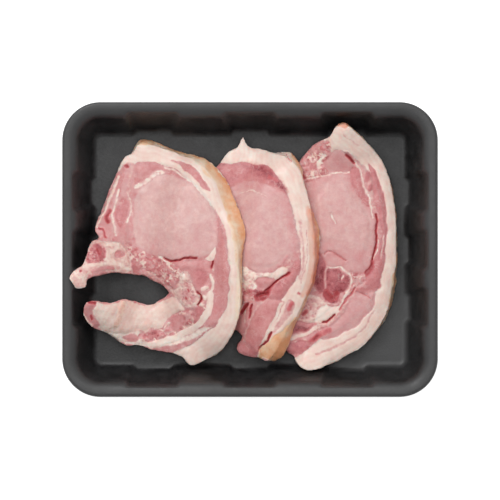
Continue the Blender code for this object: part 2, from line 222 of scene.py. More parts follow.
def new_group(name, inputs, outputs):
    """An empty node group with named sockets; returns it with its input and output nodes."""
    group = bpy.data.node_groups.new(name, "ShaderNodeTree")
    for socket, kind in inputs:
        group.interface.new_socket(socket, in_out="INPUT", socket_type=kind)
    for socket, kind in outputs:
        group.interface.new_socket(socket, in_out="OUTPUT", socket_type=kind)
    return group, group.nodes.new("NodeGroupInput"), group.nodes.new("NodeGroupOutput")


def use_group(tree, group, inputs):
    """A node that runs the group with these inputs."""
    return add(tree, "ShaderNodeGroup", inputs, node_tree=group)


def new_material(name):
    """A material with its Principled shader and the object's own coordinates."""
    made = bpy.data.materials.new(name)
    made.use_nodes = True
    tree = made.node_tree
    place = add(tree, "ShaderNodeTexCoord").outputs["Object"]
    return made, tree, tree.nodes["Principled BSDF"], place


print("helpers for groups and materials:", new_group.__name__, use_group.__name__, new_material.__name__)

# %% [markdown]
# ## The floor
#
# The pack lies on a nearly white sheet that fades into the background. A single big face does that. It
# glows faintly, because a sheet lit only from above would turn grey in the tray's shadow.

# %% The pale floor
FLOOR_SIZE = 6.0
FLOOR_GLOW = 0.7
FLOOR_GAP = 0.1 * MM


def mesh_from(net, name):
    """The net's points and faces as a mesh; the net is freed."""
    mesh = bpy.data.meshes.new(name)
    net.to_mesh(mesh)
    net.free()
    return mesh


floor_material, floor_tree, floor_shader, floor_place = new_material("pale_floor")
floor_patch = remap(floor_tree, speckle(floor_tree, floor_place, 0.5), 0.3, 0.7)
floor_colour = blend(floor_tree, floor_patch, (0.93, 0.93, 0.93, 1), (0.96, 0.96, 0.96, 1))
floor_tree.links.new(floor_colour, floor_shader.inputs["Base Color"])
floor_shader.inputs["Roughness"].default_value = 0.9
floor_shader.inputs["Specular IOR Level"].default_value = 0.1
floor_shader.inputs["Emission Color"].default_value = (1, 1, 1, 1)
floor_shader.inputs["Emission Strength"].default_value = FLOOR_GLOW
floor_net = bmesh.new()
bmesh.ops.create_grid(floor_net, x_segments=1, y_segments=1, size=FLOOR_SIZE / 2)
floor_mesh = mesh_from(floor_net, "floor")
floor_mesh.materials.append(floor_material)
floor = show(bpy.data.objects.new("floor", floor_mesh))
floor.location.z = -FLOOR_GAP
print("floor in metres:", FLOOR_SIZE)

# %% [markdown]
# ## Curves in plain numbers
#
# Meat has no straight edges, so most of its drawing is done with smooth closed loops on the cut face,
# seen from above, in millimetres from the tray's centre. These helpers bend a few marks into a loop and
# tell how deep a point lies inside it.

# %% Loops and distances
LOOP_STEPS = 5


def smooth_line(marks, closed, steps=LOOP_STEPS):
    """Points in metres on a smooth curve through marks given in millimetres."""
    given = [np.array(mark, float) * MM for mark in marks]
    if closed:
        ends = [given[-1], *given, given[0], given[1]]
    else:
        ends = [2 * given[0] - given[1], *given, 2 * given[-1] - given[-2]]
    line = []
    for start in range(len(ends) - 3):
        a, b, c, d = ends[start:start + 4]
        for step in range(steps):
            t = step / steps
            pull = (c - a) * t + (2 * a - 5 * b + 4 * c - d) * t ** 2 + (3 * (b - c) + d - a) * t ** 3
            line.append(b + pull / 2)
    if not closed:
        line.append(given[-1])
    return np.array(line)


def line_distance(line, x, y):
    """Shortest distance from each point to a line."""
    nearest = np.full(x.shape, np.inf)
    for (x0, y0), (x1, y1) in zip(line[:-1], line[1:]):
        dx = x1 - x0
        dy = y1 - y0
        share = np.clip(((x - x0) * dx + (y - y0) * dy) / (dx * dx + dy * dy + 1e-15), 0, 1)
        nearest = np.minimum(nearest, (x - x0 - share * dx) ** 2 + (y - y0 - share * dy) ** 2)
    return np.sqrt(nearest)


def is_inside(loop, x, y):
    """True for each point within a closed loop."""
    odd = np.zeros(x.shape, bool)
    for (x0, y0), (x1, y1) in zip(loop, np.roll(loop, -1, axis=0)):
        if y0 != y1:
            odd ^= ((y0 > y) != (y1 > y)) & (x < x0 + (y - y0) * (x1 - x0) / (y1 - y0))
    return odd


def depth_inside(loop, x, y, reach):
    """Distance from each point to the loop's edge: positive inside, no lower than -reach outside."""
    depth = np.full(x.shape, -reach)
    low = loop.min(0) - reach
    high = loop.max(0) + reach
    near = (x > low[0]) & (x < high[0]) & (y > low[1]) & (y < high[1])
    edge = line_distance(np.vstack([loop, loop[:1]]), x[near], y[near])
    depth[near] = np.where(is_inside(loop, x[near], y[near]), edge, -np.minimum(edge, reach))
    return depth


sample_loop = smooth_line(((0, 0), (20, 0), (20, 20), (0, 20)), True)
sample_middle = np.full(1, 10 * MM)
sample_depth = depth_inside(sample_loop, sample_middle, sample_middle, MM)[0]
print("a loop through 4 marks has", len(sample_loop), "points")
print("its middle is", round(sample_depth / MM, 1), "mm from the edge")

# %% [markdown]
# ## Soft noise
#
# Bulges, tears and wavy cuts are random but smooth. Each corner of a grid of cells gets its own random
# value, and between the corners the values ease into each other. The same place and seed always give the
# same value, so that every run builds the same meat.

# %% Noise and easing
# Large numbers that scatter neighbouring cells to unrelated values
SCATTER = (73856093, 19349663, 83492791, 668265263)
STIR = (2654435761, 2246822519)


def soft_noise(points, size, seed):
    """Smooth random values from -1 to 1, in blobs of about this size."""
    cell = np.floor(points / size).astype(np.int64)
    part = points / size - cell
    part = part * part * (3 - 2 * part)
    total = np.zeros(len(points))
    for corner in itertools.product((0, 1), repeat=3):
        at = cell + corner
        mixed = (at[:, 0] * SCATTER[0]) ^ (at[:, 1] * SCATTER[1]) ^ (at[:, 2] * SCATTER[2])
        mixed = ((mixed ^ (seed * SCATTER[3])) * STIR[0]) & 0xFFFFFFFF
        mixed = ((mixed ^ (mixed >> 15)) * STIR[1]) & 0xFFFFFFFF
        weight = np.prod(np.where(corner, part, 1 - part), axis=1)
        total += weight * (mixed / 2 ** 31 - 1)
    return total


def ease(share):
    """Smooth step from 0 to 1."""
    share = np.clip(share, 0, 1)
    return share * share * (3 - 2 * share)


sample_noise = soft_noise(np.arange(300).reshape(-1, 3) * MM, 10 * MM, 1)
print("soft noise runs from", round(sample_noise.min(), 2), "to", round(sample_noise.max(), 2))

# %% [markdown]
# ## The foam tray
#
# The real tray is pressed from a sheet of expanded foam: a rolled lip, sloping walls with three shallow
# panels a side that stiffen them, and a flat floor. The construction model has its facets; here the same
# section is swept round the same plan with many more points, so that lip and corners are truly round.
# A sweep of rings keeps full control of the section, which a subdivided box wouldn't.

# %% The tray's plan and section
HALF_LENGTH, HALF_WIDTH, TRAY_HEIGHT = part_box("tray")[1]
CORNER_RADIUS = 24 * MM
FLOOR_TOP = 3.5 * MM
STEP_ROUND = 1.4 * MM
LONG_PITCH = 61 * MM
SHORT_PITCH = 36.3 * MM
LONG_PANEL = (23 * MM, 33 * MM)
SHORT_PANEL = (16.2 * MM, 25 * MM)
PANEL_DEPTH = 2.2 * MM
PANEL_START = 5 * MM
PANEL_FADE_IN = 5 * MM
PANEL_END = 19.5 * MM
PANEL_FADE_OUT = 3.5 * MM
RING_SPACING = 1.5 * MM
HEIGHT = TRAY_HEIGHT / MM
# Marks in millimetres: inset from the plan's outline, and height above the table
UPPER_SIDE = (
    (0, HEIGHT - 4.7),
    (0, HEIGHT - 1.9),
    (0.3, HEIGHT - 0.8),
    (1.1, HEIGHT - 0.2),
    (2.3, HEIGHT),
    (4.3, HEIGHT - 0.2),
    (6.2, HEIGHT - 0.8),
    (7.9, HEIGHT - 1.9),
    (9.4, HEIGHT - 3.8),
    (10.9, HEIGHT - 7.0),
    (16.8, 8.5),
    (18.0, 5.6),
    (19.3, 4.2),
    (21.0, 3.55),
    (23.0, 3.5),
)
UNDER_SIDE = (
    (20.5, 0),
    (18.4, 0.05),
    (16.6, 0.7),
    (15.2, 2.5),
    (13.4, 7.3),
    (7.5, HEIGHT - 8.3),
    (6.3, HEIGHT - 5.3),
    (5.3, HEIGHT - 4.0),
    (4.3, HEIGHT - 3.8),
    (3.5, HEIGHT - 4.4),
    (3.1, HEIGHT - 5.0),
    (1.6, HEIGHT - 5.2),
    (0.4, HEIGHT - 5.0),
)


print("tray in mm:", [round(side * 2000) for side in (HALF_LENGTH, HALF_WIDTH)], round(HEIGHT))

# %% [markdown]
# ### One ring of the tray
#
# At one height the tray's outline is a rectangle with round corners, pushed outwards where a panel is.
# The panels grow wider towards the lip and fade in and out at their ends.

# %% Points round the tray


def panel_share(along, pitch, widths, height):
    """1 on a panel, 0 on a rib, at this distance along a side."""
    climb = (height - FLOOR_TOP) / (TRAY_HEIGHT - FLOOR_TOP)
    half = (widths[0] + (widths[1] - widths[0]) * climb) / 2
    nearest = along - np.clip(np.round(along / pitch), -1, 1) * pitch
    return 1 - ease((np.abs(nearest) - half + STEP_ROUND) / (2 * STEP_ROUND))


def tray_ring(inset, height):
    """One closed loop of points round the tray."""
    begun = ease((inset - PANEL_START) / PANEL_FADE_IN)
    ended = ease((inset - PANEL_END) / PANEL_FADE_OUT)
    panel_here = PANEL_DEPTH * begun * (1 - ended)
    ring = []
    sides = (
        (HALF_LENGTH, HALF_WIDTH, SHORT_PITCH, SHORT_PANEL),
        (HALF_WIDTH, HALF_LENGTH, LONG_PITCH, LONG_PANEL),
    ) * 2
    for quarter, (out, half_side, pitch, widths) in enumerate(sides):
        straight = half_side - CORNER_RADIUS
        along = np.linspace(-straight, straight, round(2 * straight / RING_SPACING))
        away = out - inset + panel_here * panel_share(along, pitch, widths, height)
        angles = np.linspace(0, math.pi / 2, round(CORNER_RADIUS * math.pi / 2 / RING_SPACING))[1:-1]
        radius = CORNER_RADIUS - inset
        away = np.concatenate([away, out - CORNER_RADIUS + radius * np.cos(angles)])
        along = np.concatenate([along, straight + radius * np.sin(angles)])
        turn = quarter * math.pi / 2
        x = away * math.cos(turn) - along * math.sin(turn)
        y = away * math.sin(turn) + along * math.cos(turn)
        ring.append(np.column_stack([x, y, np.full(x.shape, height)]))
    return np.vstack(ring)


print("points in the lip's ring:", len(tray_ring(0, TRAY_HEIGHT)))

# %% [markdown]
# ## Sweep the tray
#
# A press gives the sheet one thickness and closes its edge under the lip. Here rings of points climb the
# outer side, turn over the lip and go down inside, and each floor is closed by one face.

# %% Sweep the section round the plan
SECTION_STEPS = 4
SHARP_FOAM = math.radians(60)


def build_tray():
    """The two sides of the tray, joined at the lip's foot, each closed by its flat floor."""
    upper = smooth_line(UPPER_SIDE, False, SECTION_STEPS)
    under = smooth_line(UNDER_SIDE, False, SECTION_STEPS)
    bm = bmesh.new()
    loops = []
    for inset, height in [*under, *upper]:
        ring = tray_ring(max(inset, 0), min(max(height, 0), TRAY_HEIGHT))
        loops.append([bm.verts.new(point) for point in ring])
    for outer, inner in zip(loops, loops[1:]):
        for here in range(len(outer)):
            after = (here + 1) % len(outer)
            bm.faces.new((outer[here], outer[after], inner[after], inner[here]))
    bm.faces.new(reversed(loops[0]))
    bm.faces.new(loops[-1])
    bmesh.ops.recalc_face_normals(bm, faces=bm.faces)
    mesh = mesh_from(bm, "foam_tray")
    mesh.shade_smooth()
    mesh.set_sharp_from_angle(angle=SHARP_FOAM)
    return show(bpy.data.objects.new("foam_tray", mesh))


tray = build_tray()
print("tray faces:", len(tray.data.polygons))

# %% [markdown]
# ## Foam
#
# Expanded foam is made of tiny closed cells: its skin is matt with a fine pebbled grain, and mottled where
# the cells are tighter. The lip is painted paler as a painted highlight of the overhead light on its
# rounded top, and one corner of the floor is painted paler as painted sheen. Cells come from a Voronoi
# pattern and feed the height, three sizes of noise make the mottle, and the height above the table and
# the place across the tray tell where the painted highlight and the painted sheen go.

# %% Foam material
FOAM_DARK = (0.009, 0.009, 0.0095, 1)
FOAM_LIGHT = (0.026, 0.026, 0.027, 1)
# Painted highlight: the lip's paler colour stands in for the overhead light on its rounded top
FOAM_LIP_HIGHLIGHT = (0.058, 0.058, 0.059, 1)
# Painted sheen: the corner colour stands in for the light's sheen on the floor's lower right corner
FOAM_CORNER_SHEEN = (0.055, 0.055, 0.056, 1)
LIP_HIGHLIGHT_SHARE = 0.7
CORNER_SHEEN_SHARE = 0.9

foam_material, foam_tree, foam_shader, foam_place = new_material("dark_foam")
foam_cells = add(foam_tree, "ShaderNodeTexVoronoi", {"Vector": foam_place, "Scale": 1 / (0.9 * MM)})
foam_mottle = speckle(foam_tree, foam_place, 7 * MM, 4)
foam_grain = speckle(foam_tree, foam_place, 1.6 * MM, 3)
foam_broad = speckle(foam_tree, foam_place, 32 * MM, 2)
foam_patch = plus(foam_tree, times(foam_tree, foam_mottle, 0.35), times(foam_tree, foam_grain, 0.3))
foam_patch = plus(foam_tree, foam_patch, times(foam_tree, foam_broad, 0.35))
foam_colour = blend(foam_tree, remap(foam_tree, foam_patch, 0.38, 0.62), FOAM_DARK, FOAM_LIGHT)
foam_axes = add(foam_tree, "ShaderNodeSeparateXYZ", {0: foam_place}).outputs
# Painted highlight: the foam turns paler towards the lip's top
foam_lip_highlight = remap(foam_tree, foam_axes["Z"], TRAY_HEIGHT - 5 * MM, TRAY_HEIGHT - MM, 0, LIP_HIGHLIGHT_SHARE)
foam_colour = blend(foam_tree, foam_lip_highlight, foam_colour, FOAM_LIP_HIGHLIGHT)
# Painted sheen: the floor turns paler towards its lower right corner
foam_corner_sheen = maths(foam_tree, "SUBTRACT", foam_axes["X"], foam_axes["Y"])
foam_corner_sheen = remap(foam_tree, foam_corner_sheen, 95 * MM, 160 * MM, 0, CORNER_SHEEN_SHARE)
foam_corner_sheen = times(foam_tree, foam_corner_sheen, remap(foam_tree, foam_axes["Z"], 4 * MM, 9 * MM, 1, 0))
foam_colour = blend(foam_tree, foam_corner_sheen, foam_colour, FOAM_CORNER_SHEEN)
foam_tree.links.new(foam_colour, foam_shader.inputs["Base Color"])
foam_tree.links.new(remap(foam_tree, foam_mottle, 0.3, 0.7, 0.40, 0.52), foam_shader.inputs["Roughness"])
foam_shader.inputs["Specular IOR Level"].default_value = 0.5
foam_height = plus(foam_tree, foam_cells.outputs["Distance"], foam_grain)
foam_bump = add(foam_tree, "ShaderNodeBump", {"Height": foam_height, "Strength": 0.35,
                                              "Distance": 0.12 * MM})
foam_tree.links.new(foam_bump.outputs["Normal"], foam_shader.inputs["Normal"])
tray.data.materials.clear()
tray.data.materials.append(foam_material)
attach(tray, "root")
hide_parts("tray")
print(foam_material.name, "has", len(foam_tree.nodes), "nodes")

# %% [markdown]
# ## What a cut face is painted with
#
# A chop's cut face shows many tissues: pale loin, darker muscles, white seams, fat, membrane, sawn bone
# with red marrow. Each tissue below says how dark its lean is, how much of it is fat, how red and how
# bony it is, how far it swells out of the cut and how ragged it is. Later, each vertex gets these numbers
# as attributes, and one set of materials turns them into colour.

# %% Tissues
FIELDS = ("tone", "fat", "blood", "bone", "rough", "warm", "skin")
TISSUES = {
    "pale lean": dict(tone=0.15, fat=0.0, swell=0.6),
    "rosy lean": dict(tone=0.24, fat=0.0, swell=0.6),
    "pink lean": dict(tone=0.38, fat=0.0, swell=0.4),
    "lean": dict(tone=0.50, fat=0.0, swell=0.5),
    "red lean": dict(tone=0.63, fat=0.0, swell=0.5),
    "deep lean": dict(tone=0.72, fat=0.0, blood=0.06, swell=0.5),
    "dark lean": dict(tone=0.86, fat=0.0, blood=0.08, swell=0.6),
    "salmon lean": dict(tone=0.55, fat=0.0, warm=0.1, swell=0.5),
    "ragged lean": dict(tone=0.54, fat=0.06, rough=0.7, swell=0.3),
    "ragged fat": dict(tone=0.40, fat=0.55, rough=0.7, swell=0.3),
    "blood": dict(tone=0.85, fat=0.0, blood=0.6, swell=-0.2),
    "flush": dict(tone=0.62, fat=0.0, blood=0.28, swell=0.3),
    # Painted shade: crevices and grooves are coloured dark for the shade that falls in the meat's folds; the
    # surface also sinks there
    "shaded crevice": dict(tone=0.92, fat=0.0, blood=0.7, swell=-1.8),
    "shaded groove": dict(tone=0.68, fat=0.1, blood=0.3, swell=-0.9),
    "fat": dict(fat=1.0, swell=0.2),
    "seam": dict(tone=0.35, fat=0.66, rough=0.3, swell=-0.1),
    "pink fat": dict(tone=0.46, fat=0.36, swell=0.1),
    "faint fat": dict(tone=0.5, fat=0.8, swell=0.1),
    "membrane": dict(tone=0.56, fat=0.82, rough=0.2, swell=0.7),
    "gristle": dict(tone=0.45, fat=0.78, rough=0.2, swell=0.5),
    "tan": dict(tone=0.5, fat=0.62, warm=0.5, swell=0.7),
    "sawn bone": dict(tone=0.40, fat=0.46, bone=0.15, rough=0.2, warm=0.12, swell=0.5),
    "marrow": dict(tone=0.50, fat=0.3, blood=0.0, bone=0.55, rough=0.3, swell=-0.2),
    "red marrow": dict(tone=0.66, fat=0.0, blood=0.1, bone=0.7, rough=0.5, swell=-0.2),
    "faint rind": dict(fat=1.0, skin=0.34, swell=0.0),
    "rind": dict(fat=1.0, skin=0.62, swell=0.0),
    "deep rind": dict(fat=1.0, skin=0.95, swell=0.0),
    "pink rind": dict(fat=1.0, skin=0.22, blood=0.2, swell=0.0),
    "red rind": dict(fat=1.0, skin=0.3, blood=0.42, swell=0.0),
}
CRISP = 1.0
SOFT = 4.0
SWELL_WIDTH = 4 * MM
FADING_FIELDS = ("blood", "bone", "rough", "warm", "skin")


def area(tissue, *marks, blur=CRISP):
    """A closed patch of one tissue; marks and the width of its edge's blur in millimetres."""
    return tissue, None, blur, marks


def streak(tissue, width, *marks, blur=CRISP):
    """A line of one tissue, so many millimetres wide."""
    return tissue, width, blur, marks


print(len(TISSUES), "tissues in", len(FIELDS), "fields")

# %% [markdown]
# ## The left chop
#
# It lies on top, with its backbone towards the tray's wall. First come its lines: the skin's edge on the
# cut face, how far the skin leans out below that edge, and the seams where fat and bones part from the
# lean.

# %% The left chop's rind and seams
LEFT_RIND = ((-69.8, 66.5), (-60, 65.5), (-48.5, 61.5), (-32.8, 55), (-22.8, 42), (-16.5, 25.5),
             (-10.5, 11), (-7.5, -6.5), (-6.2, -30), (-9, -48.5), (-18.3, -63.3), (-28.5, -69.8))
LEFT_SLANT = ((0, 2.5), (0, 2.8), (0, 1.5), (4, 2.5), (7, 3), (9.5, 0.5), (7.5, 0), (3, 0), (1, 0), (0, 0),
              (0, 0), (0, 0))
LEFT_FAT_SEAM = ((-88, 50), (-73, 53.5), (-54, 53), (-40, 45.5), (-27, 32), (-18, 14), (-13.5, -6),
                 (-13.5, -30), (-20, -45), (-35, -58), (-52, -68))
LEFT_BACKBONE_SEAM = ((-100, 8.5), (-92, 5), (-82, 4.5), (-77, -1), (-74, -9), (-73, -20))
LEFT_RIB_SEAM = ((-54, -28), (-50.3, -25), (-47.5, -23), (-44.5, -19.5), (-43, -14.8), (-38.9, -14.5),
                 (-36, -20), (-33.5, -25.5), (-31.3, -31), (-32.8, -35.6), (-37.5, -36.6), (-42, -35),
                 (-46, -31), (-49.5, -28.7), (-54, -29.2))
print("marks on the left rind:", len(LEFT_RIND))

# %% [markdown]
# ### Its eye and fat
#
# The eye is the pale back muscle of a loin, with a cap of darker lean over it and a long stripe of lean
# inside the fat. The fat is laid first and broadly, because all the rest lies on it.

# %% The left chop's eye and fat
LEFT_EYE = (
    area("fat", *LEFT_FAT_SEAM, (-52, -85), (10, -85), (10, 85), (-95, 85)),
    area("lean", (-50, 56), (-45, 55.5), (-38, 53.5), (-32, 49), (-27.5, 41.5), (-24.5, 36.5),
         (-29.5, 39), (-33.5, 43.5), (-40, 49.5), (-45, 54)),
    area("pink lean", (-80, 53), (-72, 53.5), (-70, 44), (-74, 30), (-76, 12), (-70, 3), (-58, -5),
         (-70, -10), (-84, 6), (-97, 12), (-92, 27), (-86, 41), blur=SOFT),
    area("lean", (-72.5, 53.5), (-60.5, 54.5), (-50, 52), (-43.5, 49), (-40, 45), (-45, 45.5),
         (-53, 49.5), (-56.5, 49.5), (-65.5, 44.5), (-72.5, 41.5)),
    area("lean", (-22, 26), (-19.5, 21.5), (-16.5, 15.5), (-15, 9), (-13.2, -6), (-13.5, -28),
         (-14.7, -36.5), (-17.4, -37.2), (-20, -45.5), (-24, -49.5), (-28, -48.5), (-26.5, -43), (-24, -37),
         (-23.2, -28.5), (-22.8, -19.5), (-22, -11), (-22, -4.5), (-21, 2), (-20.5, 9), (-20, 15.5)),
    streak("salmon lean", 4.0, (-17.5, 12), (-17.5, -2), (-18, -16), (-18.5, -28), blur=2.5),
    area("seam", (-24, -48.5), (-29, -52), (-34.5, -56), (-44, -59), (-52.5, -61), (-57.5, -61.5),
         (-55, -59), (-46, -56.5), (-37.5, -53.5), (-29.5, -49), blur=1.6),
    streak("fat", 1.8, (-15, -42), (-19, -51), (-26.5, -58), (-35, -63.5), blur=1.6),
    streak("fat", 2.4, (-11.3, -50.3), (-17.5, -59.7), (-28.1, -67.2), (-37.5, -70.3), blur=2.0),
    area("pale lean", (-56, 48.5), (-45, 45), (-40, 43.5), (-32.5, 39), (-28.5, 33), (-24, 29),
         (-22, 24), (-21, 15.5), (-22, 1), (-29.5, -4), (-38, -4), (-49, -6), (-56, -5), (-64.5, -1.5),
         (-71.5, 4), (-73.5, 14), (-73, 26), (-71, 36), (-63, 44), blur=1.8),
    streak("rosy lean", 14.0, (-60, 3), (-46, 0), (-34, 2), (-28, 10), blur=9.0),
    streak("seam", 1.2, (-53, 52), (-45, 48.5), (-39.5, 44.5), (-32.5, 38.5), (-27.5, 33), (-24, 28)),
    streak("ragged fat", 2.4, (-71.5, 39.5), (-67.5, 42.0), (-63, 44.5), (-59.5, 47.5), (-55.5, 49)),
    streak("seam", 1.2, (-71.5, 39.5), (-67.5, 42.0), (-63, 44.8), (-58.5, 48)),
    area("lean", (-48.6, -8.7), (-41, -6.6), (-33.6, -6), (-26, -7), (-23.9, -13.5), (-25, -17.8),
         (-29.3, -24.3), (-31.4, -27.5), (-34.1, -25.4), (-36.3, -17.8), (-39, -14), (-44.3, -13.5)),
    area("red lean", (-35, -13.5), (-29, -13), (-26, -17), (-30, -25), (-33, -22), blur=SOFT),
    area("fat", (-21.6, 1.5), (-23, -5.8), (-28.5, -5.8), (-25.5, -3)),
)
print("loops on the eye and the fat:", len(LEFT_EYE))

# %% [markdown]
# ### Its flank
#
# Beyond the gap the flank shows its white membrane, and small ragged muscles hang between it and the
# fat. They are drawn as loose patches, because torn meat has no clear borders.

# %% The left chop's flank
LEFT_FLANK = (
    area("membrane", (-101, -33), (-98, -33), (-94, -34), (-89, -34.5), (-82.5, -33), (-78, -31.5),
         (-73, -33), (-69, -35), (-62.5, -35), (-59, -33.5), (-55, -32), (-51, -30.5), (-45.5, -31),
         (-42, -35.5), (-42, -38.5), (-46, -40), (-51, -43.5), (-55, -48.5), (-61, -51), (-69, -51),
         (-76, -52), (-86, -52.5), (-94.5, -49.5), (-97.5, -46.5), (-99, -40)),
    area("gristle", (-100, -34), (-90, -35), (-84, -34), (-82, -46), (-86, -52), (-95, -47), blur=SOFT),
    area("lean", (-106, -37), (-103, -31.5), (-97, -32.5), (-96, -36), (-98.5, -39), (-97, -43),
         (-94, -47), (-97, -49.5), (-102, -44), blur=1.8),
    streak("membrane", 1.2, (-105.4, -34.5), (-105, -39), (-102, -44.3), (-98.6, -47.8)),
    streak("blood", 1.6, (-99.8, -33.4), (-96.3, -33.8)),
    streak("blood", 1.3, (-99.6, -41.2), (-98.8, -43.2)),
    streak("tan", 3.2, (-79.2, -33.5), (-81.5, -39.4), (-83.6, -47), blur=2.5),
    area("seam", (-93, -50), (-86, -52), (-78, -52), (-70, -51.5), (-62, -52), (-55, -50), (-46, -54),
         (-42, -57), (-60, -61), (-72, -60.5), (-84, -57)),
    area("lean", (-79.5, -55), (-76, -52.8), (-71.5, -53.8), (-70.5, -57), (-75, -58.5), blur=1.6),
    area("ragged lean", (-70, -54), (-64, -49.8), (-59, -50.2), (-54, -52.5), (-52, -56), (-57.5, -58.5),
         (-64, -58.5), (-69, -57)),
    area("red marrow", (-66, -53.5), (-63, -51), (-58.5, -51.5), (-57, -54), (-60.5, -56.5), (-64.5, -56)),
    area("ragged lean", (-56, -49.5), (-52.5, -44.5), (-48.5, -40.5), (-42, -38), (-35.5, -38),
         (-28, -35.5), (-29.5, -40.5), (-34.5, -47), (-42.5, -51), (-50.5, -54.5)),
    area("lean", (-50.5, -44.5), (-46.5, -41), (-42.5, -42), (-42.5, -46.5), (-46, -50), (-50, -49),
         blur=2.5),
    area("red lean", (-34.5, -38), (-30, -36), (-29.5, -40), (-32.5, -45), (-35, -42), blur=1.8),
    streak("fat", 1.6, (-24.4, -16), (-23.2, -21), (-24.2, -27)),
    streak("fat", 4.0, (-25, -29), (-25.8, -36.7), (-29.3, -43.7), (-36.3, -50.1), (-46, -54.6),
           (-56.2, -58.7), (-62, -60.8)),
)
print("loops on the flank:", len(LEFT_FLANK))

# %% [markdown]
# ### Its bones
#
# The saw went through the backbone and a rib. Both show a pale hard ring round red marrow, with torn
# lean and gristle in the corners.

# %% The left chop's bones
LEFT_BONES = (
    area("ragged lean", (-72, 2), (-62, -4), (-54, -7), (-47, -9.5), (-42, -15), (-44, -20),
         (-50, -24), (-60, -18.5), (-68, -13.5), (-76, -13), (-80, -6), (-79, 4)),
    streak("seam", 1.6, (-57, -5.2), (-53.5, -7), (-50.5, -9.6)),
    streak("pink fat", 1.8, (-66, -14.8), (-60, -17.3), (-54, -21)),
    area("red lean", (-76, -8), (-72.5, -7), (-69.5, -9.5), (-70, -13.8), (-74.5, -12.5), blur=1.6),
    area("sawn bone", (-102, 1), (-99, 5.3), (-90, 5), (-82, 4.5), (-77, -1), (-74.5, -9), (-76, -14),
         (-94, -14), (-101.5, -17), (-101, -26), (-112, -26), (-113, -16), (-105, -8)),
    area("red marrow", (-100.3, 0.5), (-97, 3), (-91.5, 2.2), (-89.8, -1), (-90.5, -6), (-94, -8.5),
         (-100, -8.8), (-102.5, -6.5), blur=2.0),
    streak("dark lean", 3.6, (-96, 1.4), (-94.6, -0.8), (-93.4, -4), blur=3.0),
    streak("blood", 1.4, (-95.4, -0.6), (-94.4, -2.2), blur=2.0),
    streak("gristle", 2.2, (-88.5, 3.2), (-83, 3), (-84.5, -0.6), (-88, -1.2), (-88.5, -5.5), (-85, -7)),
    area("lean", (-83.8, -1.6), (-80, -1), (-78.8, -3.5), (-81, -5), (-84, -4.5)),
    streak("gristle", 1.8, (-104.6, -10.6), (-97.6, -9.6), (-87.9, -8.8), (-81.5, -9.2), (-75, -12.5)),
    streak("lean", 2.0, (-98, -13.6), (-93, -12.6), (-86, -11.8)),
    streak("seam", 1.2, (-112, -17.5), (-111, -22), (-107.5, -24.8), (-103, -24.2)),
    area("sawn bone", (-50.3, -25), (-47.5, -23), (-44.5, -19.5), (-43, -14.8), (-38.9, -14.5), (-36, -20),
         (-33.5, -25.5), (-31.3, -31), (-32.8, -35.6), (-37.5, -36.6), (-42, -35), (-46, -31)),
    streak("gristle", 2.2, (-41.5, -16.2), (-39.8, -18.5)),
    area("marrow", (-42, -19.5), (-38, -19.5), (-35.8, -25), (-33.8, -31), (-36, -34.5), (-40.5, -33.5),
         (-43, -28.5), (-43.6, -23.5), blur=2.0),
    streak("blood", 0.9, (-38.6, -25.4), (-38, -26), blur=1.4),
    streak("blood", 0.9, (-39.8, -30.2), (-39.4, -30.8), blur=1.4),
    streak("lean", 2.0, (-48.8, -19.8), (-47.6, -22.2), (-46.4, -23.6), blur=1.6),
    streak("gristle", 2.4, (-29.2, -24.8), (-27, -24.2)),
    streak("gristle", 2.6, (-31.2, -28.6), (-28.6, -30.6)),
    streak("gristle", 2.4, (-31.6, -34.2), (-29.8, -34.8)),
    streak("shaded crevice", 0.9, (-32.4, -26.6), (-30.4, -30.8), (-32.6, -35.2)),
)
print("loops on the bones:", len(LEFT_BONES))

# %% [markdown]
# ### Its fine marks
#
# Last come the marks that lie over the rest: small muscles and white lines along the outer edge, blood
# and painted shade in the folds, and the rind where it turns up into view.

# %% The left chop's fine marks
LEFT_FINE_MARKS = (
    area("red lean", (-80.3, 31.7), (-76.4, 29), (-76.6, 24), (-78.4, 17.3), (-80.8, 14), (-83.2, 15.9),
         (-85.2, 22.1), (-83.6, 27.5), blur=1.8),
    streak("lean", 1.8, (-78.5, 52), (-79, 46), (-82, 38), (-83, 33), blur=1.8),
    streak("salmon lean", 1.2, (-80.5, 47), (-83.5, 40), (-85.8, 35.5), blur=1.6),
    streak("seam", 1.5, (-83.2, 37.4), (-85.5, 26.9), (-87, 22.1), (-85.2, 15.4), (-84.5, 9), blur=1.6),
    streak("seam", 1.0, (-78.4, 35.5), (-75.4, 30.2), (-75.3, 23), (-77.4, 17), blur=1.4),
    streak("pink fat", 2.4, (-74.5, 52), (-75.5, 44), (-76.5, 36), blur=2.5),
    streak("membrane", 1.6, (-82.5, 46), (-87.5, 35), (-91.8, 25), (-96, 14.5), blur=1.6),
    streak("blood", 2.3, (-88.9, 24.5), (-90.3, 20.7), (-88.6, 17.3), blur=2.0),
    streak("blood", 0.9, (-94.6, 14), (-91.8, 12.1), (-89.9, 7.6), blur=1.2),
    streak("blood", 1.6, (-78, 52.6), (-77.2, 51.6), blur=1.6),
    streak("shaded crevice", 1.0, (-54.5, -6), (-49.7, -7), (-43.8, -6.2), (-37.9, -4.6), (-34.1, -4.9)),
    streak("shaded crevice", 1.1, (-23.4, -7.1), (-23.7, -11.6)),
    streak("blood", 1.2, (-106.6, -13), (-106.2, -13.2)),
    streak("faint rind", 3.0, (-13, 22), (-10, 8), (-7.8, -4), (-7, -18), (-7.2, -32), (-9, -43), blur=3.0),
    streak("rind", 2.0, (-12.5, 21), (-9.3, 10), (-7, 1), blur=3.0),
    streak("faint rind", 2.2, (-60, 66.5), (-50, 63.5), (-40, 59.5), (-32, 54), (-25, 45), blur=2.5),
    area("rind", (-72, 70), (-71, 66.3), (-66, 65.4), (-60.5, 66), (-59, 71), blur=1.4),
)
